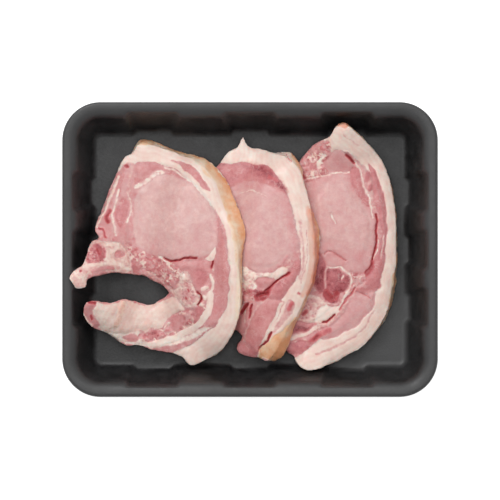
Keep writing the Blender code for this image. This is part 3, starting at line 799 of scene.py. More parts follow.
LEFT_TISSUES = LEFT_EYE + LEFT_FLANK + LEFT_BONES + LEFT_FINE_MARKS
print("left chop:", len(LEFT_TISSUES), "painted loops")

# %% [markdown]
# ## The middle chop
#
# Its left side is hidden under the left chop, and with it any bone. Only the seam of its fat is needed,
# and the line of the rind, which turns up and faces the viewer at the lower end.

# %% The middle chop's rind and seam
MIDDLE_RIND = ((25, 57), (31, 49), (35, 37), (38, 26), (39.5, 12), (40.5, -5), (38.5, -19), (34, -31),
               (29, -42.5), (24.5, -47.5), (20, -56), (14.5, -65), (10.5, -69.8))
MIDDLE_SLANT = ((1, 3.5), (0.5, 4), (0, 0), (0.5, 0), (4, 0), (2.5, 0), (2, -1), (1.5, -2), (1, -2),
                (3, -3), (4, -4.5), (4, -4), (0.5, -0.5))
MIDDLE_FAT_SEAM = ((-28, 50), (-13, 54), (2, 51), (17, 44.5), (25, 29), (30, 6), (31, -14), (21, -28),
                   (15, -43), (5, -64), (3, -72))
print("marks on the middle rind:", len(MIDDLE_RIND))

# %% [markdown]
# ### Its eye and fat
#
# A darker muscle lies above the pale eye. It is laid as a red patch with a softer one over it, so that
# it fades towards the eye as it does in real meat.

# %% The middle chop's eye and fat
MIDDLE_EYE = (
    area("fat", *MIDDLE_FAT_SEAM, (3, -85), (60, -85), (60, 85), (-35, 85)),
    area("red lean", (-28, 52), (-16, 54), (-5.5, 55), (-0.5, 55), (4, 53.5), (8, 54), (12.5, 51),
         (17, 46.5), (21, 39.5), (24, 31), (19, 34), (8, 38), (-2.5, 39), (-15, 36), (-28, 36)),
    area("red lean", (-28, 49), (-16, 52), (-9, 53.5), (-2, 52), (4, 48), (8, 44), (6, 41), (-2.5, 40),
         (-15, 36), (-28, 36), blur=SOFT),
    streak("dark lean", 4.4, (4.5, 52), (9, 49.5), (14, 45), (18, 42.5), (21, 38), blur=SOFT),
    streak("flush", 2.4, (12, 45.5), (17, 43.5), blur=2.5),
    streak("deep lean", 3.0, (-4, 50.5), (2, 49), (7, 46), blur=SOFT),
    area("pink lean", (-30, 36), (-17.5, 38), (-9, 41), (-1, 43), (7.5, 41.5), (16, 39), (22, 35.5),
         (25.5, 26), (29, 15), (31, 6), (30.5, -2), (26, -5), (18, -10), (12.5, -14), (4.5, -14.5),
         (-4, -12), (-26, -4), (-34, 14), blur=3.0),
    area("rosy lean", (-14, 34), (-4, 38), (7.5, 37), (16, 33), (19.5, 24), (23, 14), (26, 4), (24, -4),
         (18, -9), (11, -12), (3, -12), (-6, -8), (-11, 6), (-12, 20), blur=SOFT),
    streak("seam", 0.6, (-6, 36), (2, 36.5), (10, 33)),
)
print("loops on the eye and the fat:", len(MIDDLE_EYE))

# %% [markdown]
# ### Its lower end
#
# Below the eye a torn band of fat crosses the chop, and a strip of salmon lean hangs down beside the
# rind. Painted shade darkens the folds between them and gives the depth.

# %% The middle chop's lower end
MIDDLE_LOWER_END = (
    area("ragged fat", (-5, -11), (0, -12.5), (6, -14.5), (13, -14.5), (14, -18), (6, -19), (4, -24),
         (-3, -26), (-8, -18)),
    area("fat", (13, -14.8), (17.5, -12.6), (22, -11), (24, -13.2), (20, -17), (17, -19), (14.5, -17.5)),
    streak("pink fat", 0.9, (24, -8), (27, -3.5), (30, -1.5)),
    streak("lean", 1.6, (20.5, -8), (23.5, -4.5), blur=1.6),
    area("lean", (3.6, -19.5), (7, -17.6), (11.5, -17.2), (15.6, -19.6), (13, -22.5), (9, -24), (5, -23.4)),
    area("red lean", (28, -6.5), (31, -7), (31, -13), (28, -20), (23, -27), (19, -31), (12, -31),
         (8.5, -29), (13, -24), (19, -20), (24.5, -13)),
    area("ragged lean", (-12, -20), (-3, -24), (4, -24.5), (9, -26), (4, -30), (-1, -34), (-8, -36),
         (-16, -34)),
    streak("dark lean", 2.2, (0, -25.8), (6, -26), blur=1.6),
    # Partly painted shade: this blood patch is red meat darkened further for the shade in the fold below the
    # torn fat
    area("blood", (3, -28.5), (9, -25.4), (13, -25.2), (11, -28.5), (8.5, -31.5), (4, -31.8), blur=1.6),
    streak("shaded crevice", 1.4, (5, -29), (8, -27.6), (10.5, -27.2), blur=1.6),
    area("red marrow", (-4.4, -26.6), (-2.6, -25.4), (-0.6, -27), (-2.2, -29), (-4.2, -28.8)),
    area("salmon lean", (10.5, -31), (21, -32), (19.5, -38), (15.5, -45.5), (11, -54), (8, -60.5),
         (5.5, -66.5), (0, -70), (-10, -68), (-9, -60.5), (-5.5, -54.5), (-1.5, -49), (1, -43), (4.5, -36)),
    area("red lean", (-9, -57), (-3, -58), (3, -64), (4, -70), (-10, -70), blur=SOFT),
    area("lean", (-1, -33), (4.5, -34), (1.5, -42), (-1.5, -49), (-4.5, -55), (-9, -52), (-9, -44),
         (-4, -37)),
    streak("shaded crevice", 0.8, (1.5, -34.5), (0.2, -43)),
    streak("pink fat", 1.3, (11, -30.8), (4.4, -36), (1.2, -42.5), (-1.6, -49.5), (-3.2, -57)),
    streak("seam", 0.8, (-2.6, -37), (-3.6, -46)),
)
print("loops on the lower end:", len(MIDDLE_LOWER_END))

# %% [markdown]
# ### Its fine marks
#
# The last marks are the pink edges of the fat, the reddish strip along the skin, the tan rind that is
# turned up, and painted shade in a few deep folds.

# %% The middle chop's fine marks
MIDDLE_FINE_MARKS = (
    streak("fat", 2.0, (20, -33.5), (16.5, -41), (13, -48.5), (10, -55), (7.4, -61), blur=1.2),
    area("pink fat", (23, -31), (28, -33), (27, -39), (20.5, -47), (13.5, -54.5), (17.5, -44.5),
         (21.5, -37.5), blur=1.8),
    streak("flush", 2.6, (26, -33.6), (24.4, -37), blur=2.0),
    streak("flush", 1.6, (30, -27), (33.5, -28.6), blur=2.0),
    streak("shaded crevice", 1.2, (13.8, -52.6), (11, -56.6), (7.8, -60.8), (6.2, -64.5)),
    area("rind", (28.7, -42.6), (24, -47.5), (19, -51.8), (12.5, -56.6), (8.2, -61), (6.3, -64.8), (6, -70),
         (10, -75), (20, -75), (30, -60), (33, -48)),
    streak("deep rind", 4.0, (28, -48), (25.5, -55), (20.5, -62), (17.5, -66), blur=SOFT),
    streak("pink fat", 1.6, (8.6, -68.5), (13, -70)),
    streak("pink rind", 3.0, (36.2, 26), (37.8, 12), (38.6, -4), (36.8, -17), (33, -29), blur=2.5),
    streak("red rind", 3.2, (37.5, 24), (40.5, 12), (41.5, -4), (40, -16), (36.5, -27), blur=1.6),
    streak("pink fat", 0.8, (35.6, 12), (36.4, 2), (35.2, -9), (31.8, -21)),
    streak("shaded groove", 0.7, (22.5, 60), (24.5, 57), (26, 55)),
    streak("pink fat", 2.0, (31.6, 18), (33, 6), (33.4, -6), (31.5, -18), blur=2.2),
    streak("shaded crevice", 1.3, (24.6, -14.4), (20.5, -17), (16.8, -19.5), (12.5, -23.6), (10, -25.6)),
    streak("shaded crevice", 1.9, (-6, -40.5), (-3.6, -36.8), (-1.2, -34)),
)
MIDDLE_TISSUES = MIDDLE_EYE + MIDDLE_LOWER_END + MIDDLE_FINE_MARKS
print("middle chop:", len(MIDDLE_TISSUES), "painted loops")

# %% [markdown]
# ## The right chop
#
# It lies flat on the floor of the tray. Its lines are those of the skin, of the fat's inner side and of
# the sawn rib.

# %% The right chop's rind and seams
RIGHT_RIND = ((60, 78.5), (73, 67), (82.3, 56.5), (87.5, 44), (90.8, 27), (91.8, 8), (91.2, -12),
              (88.3, -30), (83.7, -44.7), (72, -59.2), (55.5, -69.4), (38.5, -76))
RIGHT_SLANT = ((0, 1.5), (0, 0), (0.5, 0), (1, 0), (1, 0), (1, 0), (1.5, 0), (2.5, -1), (1, -0.5),
               (0, 0), (0, 0), (0, 0))
RIGHT_FAT_SEAM = ((44, 74), (50, 62), (63, 60), (76, 45), (83, 28), (84.5, 0), (80, -25), (66, -43),
                  (44, -57), (28, -69.3), (20, -75))
RIGHT_RIB_SEAM = ((-2, -22), (14, -28), (30, -27), (45, -26), (52, -33), (44, -42), (30, -50),
                  (14, -55), (2, -50))
print("marks on the right rind:", len(RIGHT_RIND))

# %% [markdown]
# ### Its eye and fat
#
# The eye fills the upper part, and strips of redder muscle run down inside the fat. White seams are
# laid between them after the muscles, so that they stay crisp.

# %% The right chop's eye and fat
RIGHT_EYE = (
    area("fat", *RIGHT_FAT_SEAM, (20, -90), (110, -90), (110, 90), (44, 90)),
    area("ragged lean", (32.5, 53.5), (37, 59.5), (42.5, 64.5), (48, 68), (50.5, 63.5), (49, 58.5), (46, 54),
         (47, 50.5), (50.5, 48.5), (46, 45.5), (40, 42), (35, 39), (28, 40), (26, 48)),
    streak("seam", 2.0, (46.2, 60), (44.2, 56), (43.6, 51.5)),
    area("pink lean", (54, 62.5), (60.5, 60), (66.5, 54.5), (64, 49.5), (53, 48.5), (47, 50.5), (46.5, 54.5),
         (50, 59.5)),
    area("pink lean", (52, 48.5), (60, 48.5), (65, 42), (68.5, 35), (74, 28.5), (77.5, 23.5), (79, 16.5),
         (79, 6), (77, -2), (76, -10), (72.5, -15), (64, -16), (53, -12.5), (45, -10), (34, -8), (26, 4),
         (20, 18), (24, 32), (34, 41), (42, 44.5), blur=2.0),
    area("rosy lean", (52, 46), (59.5, 46.5), (63, 41), (66.5, 33.5), (72, 27), (75.5, 20), (76.5, 8),
         (74, -3), (73.5, -9), (70, -14), (62, -14.5), (55, -11.5), (48, -8), (44, 2), (42, 12), (40, 24),
         (42, 36), blur=SOFT),
    streak("pink lean", 12.0, (46, 0), (54, -5), (64, -8), (72, -6), blur=9.0),
    streak("seam", 1.0, (36, 44.5), (42, 45.7), (48.3, 46.8), (53, 48.3), (62.3, 48.8)),
    streak("shaded groove", 0.5, (47, -3.5), (51, -1.5), (56, -4), (60, -6.5)),
    streak("seam", 1.0, (51, 22), (54, 17)),
    area("red lean", (63, 50.5), (67.5, 51), (70.5, 45.5), (73, 37), (76, 28.5), (73.5, 27.5), (69.5, 31),
         (66, 38), (63.5, 44.5)),
    area("pink fat", (68, 54), (72, 52), (76.5, 46), (78, 38), (78, 27), (76.5, 27), (74, 38), (71, 46),
         (67.5, 51.5)),
    area("red lean", (74.5, 54), (78.5, 50), (82, 40), (84.2, 32), (85.6, 22), (86, 11.5), (85, 2),
         (84.5, -8.5), (83, -16.5), (81, -23.5), (79, -21), (80, -11.5), (81.5, -0.5), (82.5, 10),
         (81, 21), (78.5, 29.5), (76.8, 40), (76, 46)),
    area("red lean", (80, 4), (85, 2), (84, -12), (81, -25), (75, -26), (66, -29), (66, -20), (72, -17),
         (76, -14), (78, -6), blur=2.5),
    area("deep lean", (71.8, 48.5), (74.5, 48.5), (75.5, 45.5), (74.5, 43), (72.2, 44), blur=1.6),
    streak("deep lean", 2.0, (75.4, 40.5), (75.6, 37.5), blur=1.6),
    streak("seam", 1.1, (66.4, 55), (69, 48.8), (71.6, 41), (74.7, 34.3), (76, 27.6), (77, 20)),
    streak("seam", 1.0, (80.2, 5.7), (80, 0.1), (77.6, -5.4)),
    streak("seam", 0.7, (83.6, 9), (83.4, 2), (82, -5)),
)
print("loops on the eye and the fat:", len(RIGHT_EYE))

# %% [markdown]
# ### Its lower end
#
# A round dark muscle sits in a white ring below the eye, and the sawn rib shows beside it. Under both
# runs the band of flank muscle.

# %% The right chop's lower end
RIGHT_LOWER_END = (
    # Partly painted shade: this dark muscle is darkened further for the shade beside the middle chop's edge
    area("dark lean", (41, -1), (45, -4), (48, -10), (46.6, -16), (47, -24), (44, -27), (40, -22),
         (38, -10), blur=2.0),
    area("ragged lean", (63, -14.4), (68, -15), (73, -16.5), (72, -20.5), (67.5, -24), (63.5, -22)),
    area("dark lean", (48.4, -12.7), (55.1, -12.7), (58.5, -15.2), (62.6, -16.6), (63.3, -20),
         (60.7, -25.5), (56.6, -27.6), (55.1, -32.2), (51.8, -33.9), (47.3, -31.1), (46.2, -26.7),
         (47.9, -22.2), (47.6, -17.2)),
    streak("blood", 2.6, (47.8, -27), (51.5, -31), (54.5, -28), blur=3.0),
    streak("seam", 1.3, (58.8, -17), (57.6, -18.2), blur=1.4),
    area("pink lean", (64.5, -26.5), (71, -27.5), (79.5, -27.5), (76, -38.5), (69.5, -46), (63, -51),
         (55, -54.5), (45, -57), (46, -50.5), (52.5, -47), (59, -40), (62.5, -33)),
    area("sawn bone", (29, -30), (37, -28), (44, -30), (50, -35.5), (56.5, -35), (56, -39), (52.5, -43.5),
         (46, -46), (40, -46.5), (30, -47), (18, -42)),
    area("fat", (43.5, -37), (47.5, -35), (51.5, -35.8), (56, -35.5), (56, -39), (52, -43), (45, -46),
         (41.5, -44)),
    area("marrow", (32, -35), (36, -31.5), (41, -31.5), (43.5, -35.5), (42.5, -40.5), (38.5, -43),
         (33, -44), (28, -42.5), (27, -38), blur=1.8),
    streak("blood", 1.8, (33.2, -41), (35.6, -39.2), blur=2.0),
    # Partly painted shade: the red and dark lean below the rib are red meat darkened further for the shade
    # beside the middle chop's edge
    area("red lean", (24, -46.5), (30, -45), (36, -45.5), (41.5, -47), (37, -50.5), (30, -53), (22, -54)),
    area("dark lean", (26, -48), (33, -48), (38, -49), (31, -52), (24, -53), blur=1.6),
    streak("faint fat", 2.2, (24, -57), (30, -55), (37, -52.2), (44, -48.6), (49.6, -46.2)),
    streak("pink fat", 1.7, (68.5, -18.5), (65.4, -26.7), (61.8, -32.8), (59.2, -37.6), (55.1, -42.6),
           (49.6, -46.4), (43.4, -48.6)),
    area("deep lean", (20, -60), (27, -58.8), (33, -57.4), (38, -59.6), (36, -63), (31, -66.5), (22, -66)),
)
print("loops on the lower end:", len(RIGHT_LOWER_END))

# %% [markdown]
# ### Its fine marks
#
# The white ring, painted shade in the folds beside it, the pink in the fat and a few drops of blood lie
# over the rest.

# %% The right chop's fine marks
RIGHT_FINE_MARKS = (
    streak("flush", 3.0, (38, -57.6), (42.5, -55), (47, -52), (50.5, -50.6), blur=2.0),
    streak("blood", 2.2, (40.5, -57), (43.5, -54.8), blur=2.0),
    streak("seam", 1.1, (48, -11.6), (51, -12), (56, -11.3), (59.6, -14.4), (63, -15.6), (64.2, -19),
           (63.5, -22.4), (61.3, -27.4), (58.5, -33.3), (55, -37.8)),
    streak("pink fat", 1.0, (48.2, -11.8), (47, -17), (47.4, -24)),
    streak("shaded groove", 1.0, (66.3, -24.2), (63.3, -28.4), (60.3, -32.6), (56.6, -37.4)),
    streak("shaded crevice", 1.1, (53.8, -40.6), (49.6, -44.4), (46, -46)),
    streak("shaded groove", 0.5, (69, -27), (73, -28.5), (75.5, -31)),
    streak("pink fat", 1.6, (78, -38.5), (73.5, -47), (64, -56.2), (50, -63), (41.7, -65.2), blur=1.8),
    streak("pink fat", 0.8, (58, 72.5), (61, 69.5), (69, 65)),
    area("rind", (90.3, -14), (89.5, -24), (87.5, -33.5), (95, -33.5), (95, -14), blur=1.6),
    area("red rind", (55, 77), (57, 82), (61.5, 80), (61, 76.5), (58.5, 75.8)),
    streak("shaded crevice", 1.5, (60.6, 58.6), (63, 57), (66, 54.2)),
    streak("shaded crevice", 0.9, (79, 23), (79.5, 14.5), (78.6, 4), (77.4, -4), (76.3, -11), (73, -15.4)),
    streak("blood", 1.6, (77.4, -7), (76.6, -12.5), (73.5, -15.6), blur=2.5),
    streak("blood", 0.9, (33, 47), (34.5, 44.5), blur=1.4),
)
RIGHT_TISSUES = RIGHT_EYE + RIGHT_LOWER_END + RIGHT_FINE_MARKS
print("right chop:", len(RIGHT_TISSUES), "painted loops")

# %% [markdown]
# ## Paint the tissues onto points
#
# The loops are laid over each other in order, like glazes: each one pulls the values under it towards
# its own, with a soft edge. The points are first shifted a little by noise, so that no boundary follows
# its loop too neatly. The same pass gives each tissue its swell, which later lifts the surface.

# %% Painting
WOBBLES = ((6 * MM, 0.9 * MM), (2.2 * MM, 0.45 * MM))
EDGE_DIP = 0.25 * MM
PLAIN_LEAN = dict(tone=0.48, fat=0.08, blood=0.0, bone=0.0, rough=0.35, warm=0.0, skin=0.0)


def shifted(points):
    """Plan places moved by soft noise."""
    flat = points * (1, 1, 0.35)
    x = points[:, 0].copy()
    y = points[:, 1].copy()
    for seed, (size, amount) in enumerate(WOBBLES):
        x += amount * soft_noise(flat, size, 11 + seed)
        y += amount * soft_noise(flat, size, 31 + seed)
    return x, y


def paint(points, tissues):
    """The values of each field, and the height that the tissues add, at each point."""
    x, y = shifted(points)
    values = {field: np.full(len(points), PLAIN_LEAN[field]) for field in FIELDS}
    lift = np.zeros(len(points))
    for tissue, width, blur, marks in tissues:
        look = TISSUES[tissue]
        swell = look["swell"] * MM
        blur = blur * MM
        if width is None:
            depth = depth_inside(smooth_line(marks, True), x, y, max(SWELL_WIDTH, blur))
            rise = swell * ease(depth / SWELL_WIDTH)
            if blur <= CRISP * MM:
                rise -= EDGE_DIP * np.exp(-(depth / MM) ** 2)
            covered = ease(0.5 + depth / blur)
        else:
            apart = line_distance(smooth_line(marks, False), x, y)
            covered = 1 - ease(0.5 + (apart - width * MM / 2) / blur)
            rise = swell
        lift = lift * (1 - covered) + rise * covered
        for field in FIELDS:
            if field in look:
                values[field] += (look[field] - values[field]) * covered
            elif field in FADING_FIELDS:
                values[field] *= 1 - covered
    return values, lift


eye_values, _ = paint(np.array([[-45 * MM, 18 * MM, 20 * MM]]), LEFT_TISSUES)
print("tone and fat in the left chop's eye:", *(round(eye_values[field][0], 2) for field in ("tone", "fat")))

# %% [markdown]
# ## From solids to one soft body
#
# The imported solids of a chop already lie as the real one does, bent over its neighbour. Turning them
# into one soft body takes many small moves of points, so a mesh is read into rows of numbers, changed
# all at once and written back, which is far quicker than going point by point.

# %% Reading and moving the points of a mesh


def mesh_points(mesh):
    """The coordinates of a mesh as rows."""
    values = np.empty(len(mesh.vertices) * 3, np.float32)
    mesh.vertices.foreach_get("co", values)
    return values.reshape(-1, 3).astype(float)


def mesh_normals(mesh):
    """The direction in which the surface faces at each vertex, as rows."""
    values = np.empty(len(mesh.vertices) * 3, np.float32)
    mesh.vertex_normals.foreach_get("vector", values)
    return values.reshape(-1, 3).astype(float)


def mesh_edges(mesh):
    """The first and the second end of every edge."""
    ends = np.empty(len(mesh.edges) * 2, np.int32)
    mesh.edges.foreach_get("vertices", ends)
    return ends.reshape(-1, 2).T


def set_points(mesh, points):
    """Moves the mesh's vertices to these rows of coordinates."""
    mesh.vertices.foreach_set("co", points.astype(np.float32).ravel())
    mesh.update()


print("the tray has", len(mesh_points(tray.data)), "points and", mesh_edges(tray.data).shape[1], "edges")

# %% [markdown]
# ### Even quads
#
# The solids are joined, swollen by a hair so that the seams between them close, and rebuilt by the Remesh
# modifier as small even quads, which can carry fine relief anywhere.

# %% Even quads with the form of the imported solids
VOXEL = 0.65 * MM
SEAM_FILL = 0.3 * MM
MOST_STRETCH = 1.8


def applied(obj):
    """The object's mesh with its modifiers applied."""
    graph = bpy.context.evaluated_depsgraph_get()
    return bpy.data.meshes.new_from_object(obj.evaluated_get(graph))


def whole_chop(name, nodes):
    """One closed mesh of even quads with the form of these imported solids."""
    bm = bmesh.new()
    for node in nodes:
        bm.from_mesh(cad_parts[node].data)
    bmesh.ops.remove_doubles(bm, verts=bm.verts, dist=1e-6)
    bmesh.ops.recalc_face_normals(bm, faces=bm.faces)
    bm.normal_update()
    moves = [vert.normal * SEAM_FILL * min(vert.calc_shell_factor(), MOST_STRETCH) for vert in bm.verts]
    for vert, move in zip(bm.verts, moves):
        vert.co += move
    body = show(bpy.data.objects.new(name, mesh_from(bm, name)))
    remesh = body.modifiers.new("even_quads", "REMESH")
    remesh.mode = "VOXEL"
    remesh.voxel_size = VOXEL
    body.data = applied(body)
    body.modifiers.clear()
    return body


print("quads are", round(VOXEL / MM, 2), "mm wide")

# %% [markdown]
# ### Smooth cut faces
#
# A knife leaves a smooth face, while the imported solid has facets. Smoothing in rounds takes the facets
# out of the two cut faces but leaves the rim alone, which a Smooth modifier can't tell apart. At the end
# the swelling is taken back.

# %% Smoothing the cut faces
FACE_ROUNDS = 90
RIM_ROUNDS = 5
FACE_DRIFT = 0.02
FACE_PULL = 0.5


def relax(points, edges, weights, rounds):
    """Moves each point towards the middle of its neighbours; weights say how far, axis by axis."""
    first, second = edges
    count = np.bincount(np.concatenate([first, second]), minlength=len(points))[:, None]
    for _ in range(rounds):
        total = np.zeros_like(points)
        for axis in range(3):
            total[:, axis] = np.bincount(first, points[second, axis], len(points))
            total[:, axis] += np.bincount(second, points[first, axis], len(points))
        points = points + (total / count - points) * weights
    return points


def smooth_faces(mesh):
    """Takes the facets out of the cut faces, then eases the rim."""
    edges = mesh_edges(mesh)
    points = mesh_points(mesh)
    flat = ease((np.abs(mesh_normals(mesh)[:, 2]) - 0.6) / 0.3)
    weights = np.column_stack([FACE_DRIFT * flat, FACE_DRIFT * flat, FACE_PULL * flat])
    points = relax(points, edges, weights, FACE_ROUNDS)
    points = relax(points, edges, np.full((1, 3), FACE_PULL), RIM_ROUNDS)
    set_points(mesh, points)
    set_points(mesh, points - mesh_normals(mesh) * SEAM_FILL)


print("smoothing rounds:", FACE_ROUNDS, "on the faces and", RIM_ROUNDS, "all over")

# %% [markdown]
# ## Relief
#
# Raw meat is never flat: muscles bulge out of the cut, seams sink, torn edges are ragged, and the side
# is wavy where the knife pulled. The lift from the painting and several sizes of noise move each point
# along its normal. Real geometry is used here because the shapes show from the side too.

# %% Relief on the chop
UNEVEN = ((14 * MM, 0.55 * MM), (5 * MM, 0.22 * MM), (2 * MM, 0.08 * MM))
RAGGED = ((3 * MM, 0.8 * MM), (1.5 * MM, 0.45 * MM))
SIDE_WAVES = ((7 * MM, 0.55 * MM), (2.5 * MM, 0.35 * MM), (1.3 * MM, 0.15 * MM))


def add_relief(mesh, tissues, seed):
    """Swells, sinks and frays the surface as its tissues ask."""
    points = mesh_points(mesh)
    normals = mesh_normals(mesh)
    values, lift = paint(points, tissues)
    up = normals[:, 2]
    top = ease(up / 0.6)
    side = 1 - ease((np.abs(up) - 0.3) / 0.5)
    move = lift * top
    for number, (size, amount) in enumerate(UNEVEN):
        move += amount * soft_noise(points, size, seed + number) * np.where(up < -0.5, 0.3, 1)
    for number, (size, amount) in enumerate(RAGGED):
        move += amount * values["rough"] * soft_noise(points, size, seed + 10 + number) * top
    for number, (size, amount) in enumerate(SIDE_WAVES):
        move += amount * soft_noise(points * (1, 1, 0.5), size, seed + 20 + number) * side
    set_points(mesh, points + normals * move[:, None])


print("relief in mm:", [round(amount / MM, 2) for _, amount in (*UNEVEN, *RAGGED, *SIDE_WAVES)])

# %% [markdown]
# ## Rind and depth of fat
#
# The skin covers only the outer side of the fat. It is found by geometry: the points whose normals face
# sideways and that lie near the rind's line. The distance from that line is kept as well, because fat
# lies in layers that follow the skin.

# %% Finding the rind
SKIN_STEPS = 6
LAYER_UNIT = 10 * MM


def skin_lines(rind_marks, slant_marks):
    """The skin's edge on the cut face and its foot on the far side, as lines in metres."""
    both = [(*place, *spread) for place, spread in zip(rind_marks, slant_marks)]
    line = smooth_line(both, False, SKIN_STEPS)
    return line[:, :2], line[:, :2] + line[:, 2:]


def rind_fields(points, normals, rind_marks, slant_marks, values):
    """How far across the skin each point is, and its depth behind the skin in units of 10 mm."""
    edge, foot = skin_lines(rind_marks, slant_marks)
    x, y = shifted(points)
    from_edge = line_distance(edge, x, y)
    from_foot = line_distance(foot, x, y)
    across = from_edge / (from_edge + from_foot + 1e-9)
    band = is_inside(np.vstack([edge, foot[::-1]]), x, y)
    rind = np.where(band, ease(from_edge / (1.2 * MM)) * (0.3 + 0.7 * across), 0)
    near = 1 - ease((np.minimum(from_edge, from_foot) - 4 * MM) / (3 * MM))
    sideways = (1 - ease((normals[:, 2] - 0.1) / 0.3)) * near * 0.7
    rind = np.maximum(rind, sideways) * ease((values["fat"] - 0.2) / 0.5)
    rind = np.maximum(rind, values["skin"])
    rind[normals[:, 2] < -0.6] = 0
    return rind, from_edge / LAYER_UNIT


left_edge, _ = skin_lines(LEFT_RIND, LEFT_SLANT)
print("left rind in mm:", round(float(np.hypot(*np.diff(left_edge, axis=0).T).sum()) / MM))

# %% [markdown]
# ## Cut the body along its seams
#
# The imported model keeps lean, fat and bone apart, so the dressed chop does too. A plate thinner than a
# hair follows each seam and is taken away by a Boolean. The manifold solver keeps the painted attributes
# and takes under a second.

# %% Cutting along seams
BLADE = 0.03 * MM
BLADE_HEIGHT = 90 * MM
BLADE_STEPS = 8


def seam_blade(name, marks):
    """A thin upright plate along a seam."""
    line = smooth_line(marks, False, BLADE_STEPS)
    bm = bmesh.new()
    lower = [bm.verts.new((x, y, -BLADE_HEIGHT / 2)) for x, y in line]
    upper = [bm.verts.new((x, y, BLADE_HEIGHT / 2)) for x, y in line]
    for here in range(len(line) - 1):
        bm.faces.new((lower[here], lower[here + 1], upper[here + 1], upper[here]))
    blade = show(bpy.data.objects.new(name, mesh_from(bm, name)))
    width = blade.modifiers.new("width", "SOLIDIFY")
    width.thickness = BLADE
    width.offset = 0
    width.use_even_offset = True
    return blade


def cut_along(body, seams):
    """Takes a thin plate out of the body along each seam."""
    for marks in seams:
        blade = seam_blade("blade", marks)
        cut = body.modifiers.new("cut", "BOOLEAN")
        cut.operation = "DIFFERENCE"
        cut.solver = "MANIFOLD"
        cut.object = blade
        body.data = applied(body)
        body.modifiers.clear()
        bpy.data.objects.remove(blade)


print("blade in mm:", round(BLADE / MM, 2))

# %% [markdown]
# ### Tell the loose bodies apart
#
# After the cuts one mesh holds several loose bodies. Every vertex first has its own number, and the lower
# number spreads along the edges until each body has one. The wanted body is then copied out.

# %% Loose bodies


def bodies_of(mesh):
    """A number for each vertex that says which loose body it belongs to."""
    first, second = mesh_edges(mesh)
    label = np.arange(len(mesh.vertices))
    while True:
        low = np.minimum(label[first], label[second])
        before = label.copy()
        np.minimum.at(label, first, low)
        np.minimum.at(label, second, low)
        label = label[label]
        if np.array_equal(before, label):
            return label


def keep_body(mesh, chosen, name):
    """A copy of the mesh with only the vertices in the mask."""
    bm = bmesh.new()
    bm.from_mesh(mesh)
    unwanted = [vert for vert, keep in zip(bm.verts, chosen) if not keep]
    bmesh.ops.delete(bm, geom=unwanted, context="VERTS")
    bmesh.ops.triangulate(bm, faces=[face for face in bm.faces if len(face.verts) > 4])
    return mesh_from(bm, name)


print("loose bodies in the floor's mesh:", len(np.unique(bodies_of(floor.data))))

# %% [markdown]
# ## Values on the points
#
# Each painted field is kept on the mesh as one number a point, so that it survives the cuts and reaches
# the shader. The points that a cut adds have no values yet and borrow those of the nearest old point.

# %% Fields on a mesh
PAINTED = (*FIELDS, "rind", "depth")


def write_field(mesh, name, values):
    """Keeps one number a vertex on the mesh under this name."""
    layer = mesh.attributes.get(name) or mesh.attributes.new(name, "FLOAT", "POINT")
    layer.data.foreach_set("value", values.astype(np.float32))


def read_field(mesh, name):
    """The numbers kept on the mesh under this name."""
    values = np.empty(len(mesh.vertices), np.float32)
    mesh.attributes[name].data.foreach_get("value", values)
    return values


def fill_new_points(mesh, fields):
    """Gives the points that a cut added the values of their nearest old neighbour."""
    known = read_field(mesh, "known") > 0.5
    points = mesh_points(mesh)
    old = np.flatnonzero(known)
    tree = kdtree.KDTree(len(old))
    for place, number in enumerate(old):
        tree.insert(points[number], place)
    tree.balance()
    fresh = np.flatnonzero(~known)
    source = [old[tree.find(points[number])[1]] for number in fresh]
    for field in fields:
        values = read_field(mesh, field)
        values[fresh] = values[source]
        write_field(mesh, field, values)


print("fields:", *PAINTED)

# %% [markdown]
# ## Dress one chop
#
# This runs the steps above in order for one chop and hands back its pieces. The chops differ only in
# their solids, tissues, rind and seams, so one function serves all three.

# %% Dressing a chop
SHARP_MEAT = math.radians(65)


def dress_chop(name, nodes, tissues, skin, seams, spots, seed):
    """Pieces of one chop by the node that each stands for."""
    body = whole_chop(name, nodes)
    smooth_faces(body.data)
    add_relief(body.data, tissues, seed)
    points = mesh_points(body.data)
    values, _ = paint(points, tissues)
    rind, depth = rind_fields(points, mesh_normals(body.data), *skin, values)
    for field in FIELDS:
        write_field(body.data, field, values[field])
    for field, numbers in (("rind", rind), ("depth", depth), ("known", np.ones(len(points)))):
        write_field(body.data, field, numbers)
    cut_along(body, seams)
    mesh = body.data
    fill_new_points(mesh, PAINTED)
    labels = bodies_of(mesh)
    points = mesh_points(mesh)
    pieces = {}
    for node, spot in spots.items():
        apart = np.hypot(*(points[:, :2] - np.array(spot) * MM).T)
        piece_name = node + "_meat"
        own = keep_body(mesh, labels == labels[apart.argmin()], piece_name)
        own.shade_smooth()
        own.set_sharp_from_angle(angle=SHARP_MEAT)
        piece = show(bpy.data.objects.new(piece_name, own))
        pieces[node] = piece
        print(piece_name, len(piece.data.polygons), "faces")
    bpy.data.objects.remove(body)
    return pieces


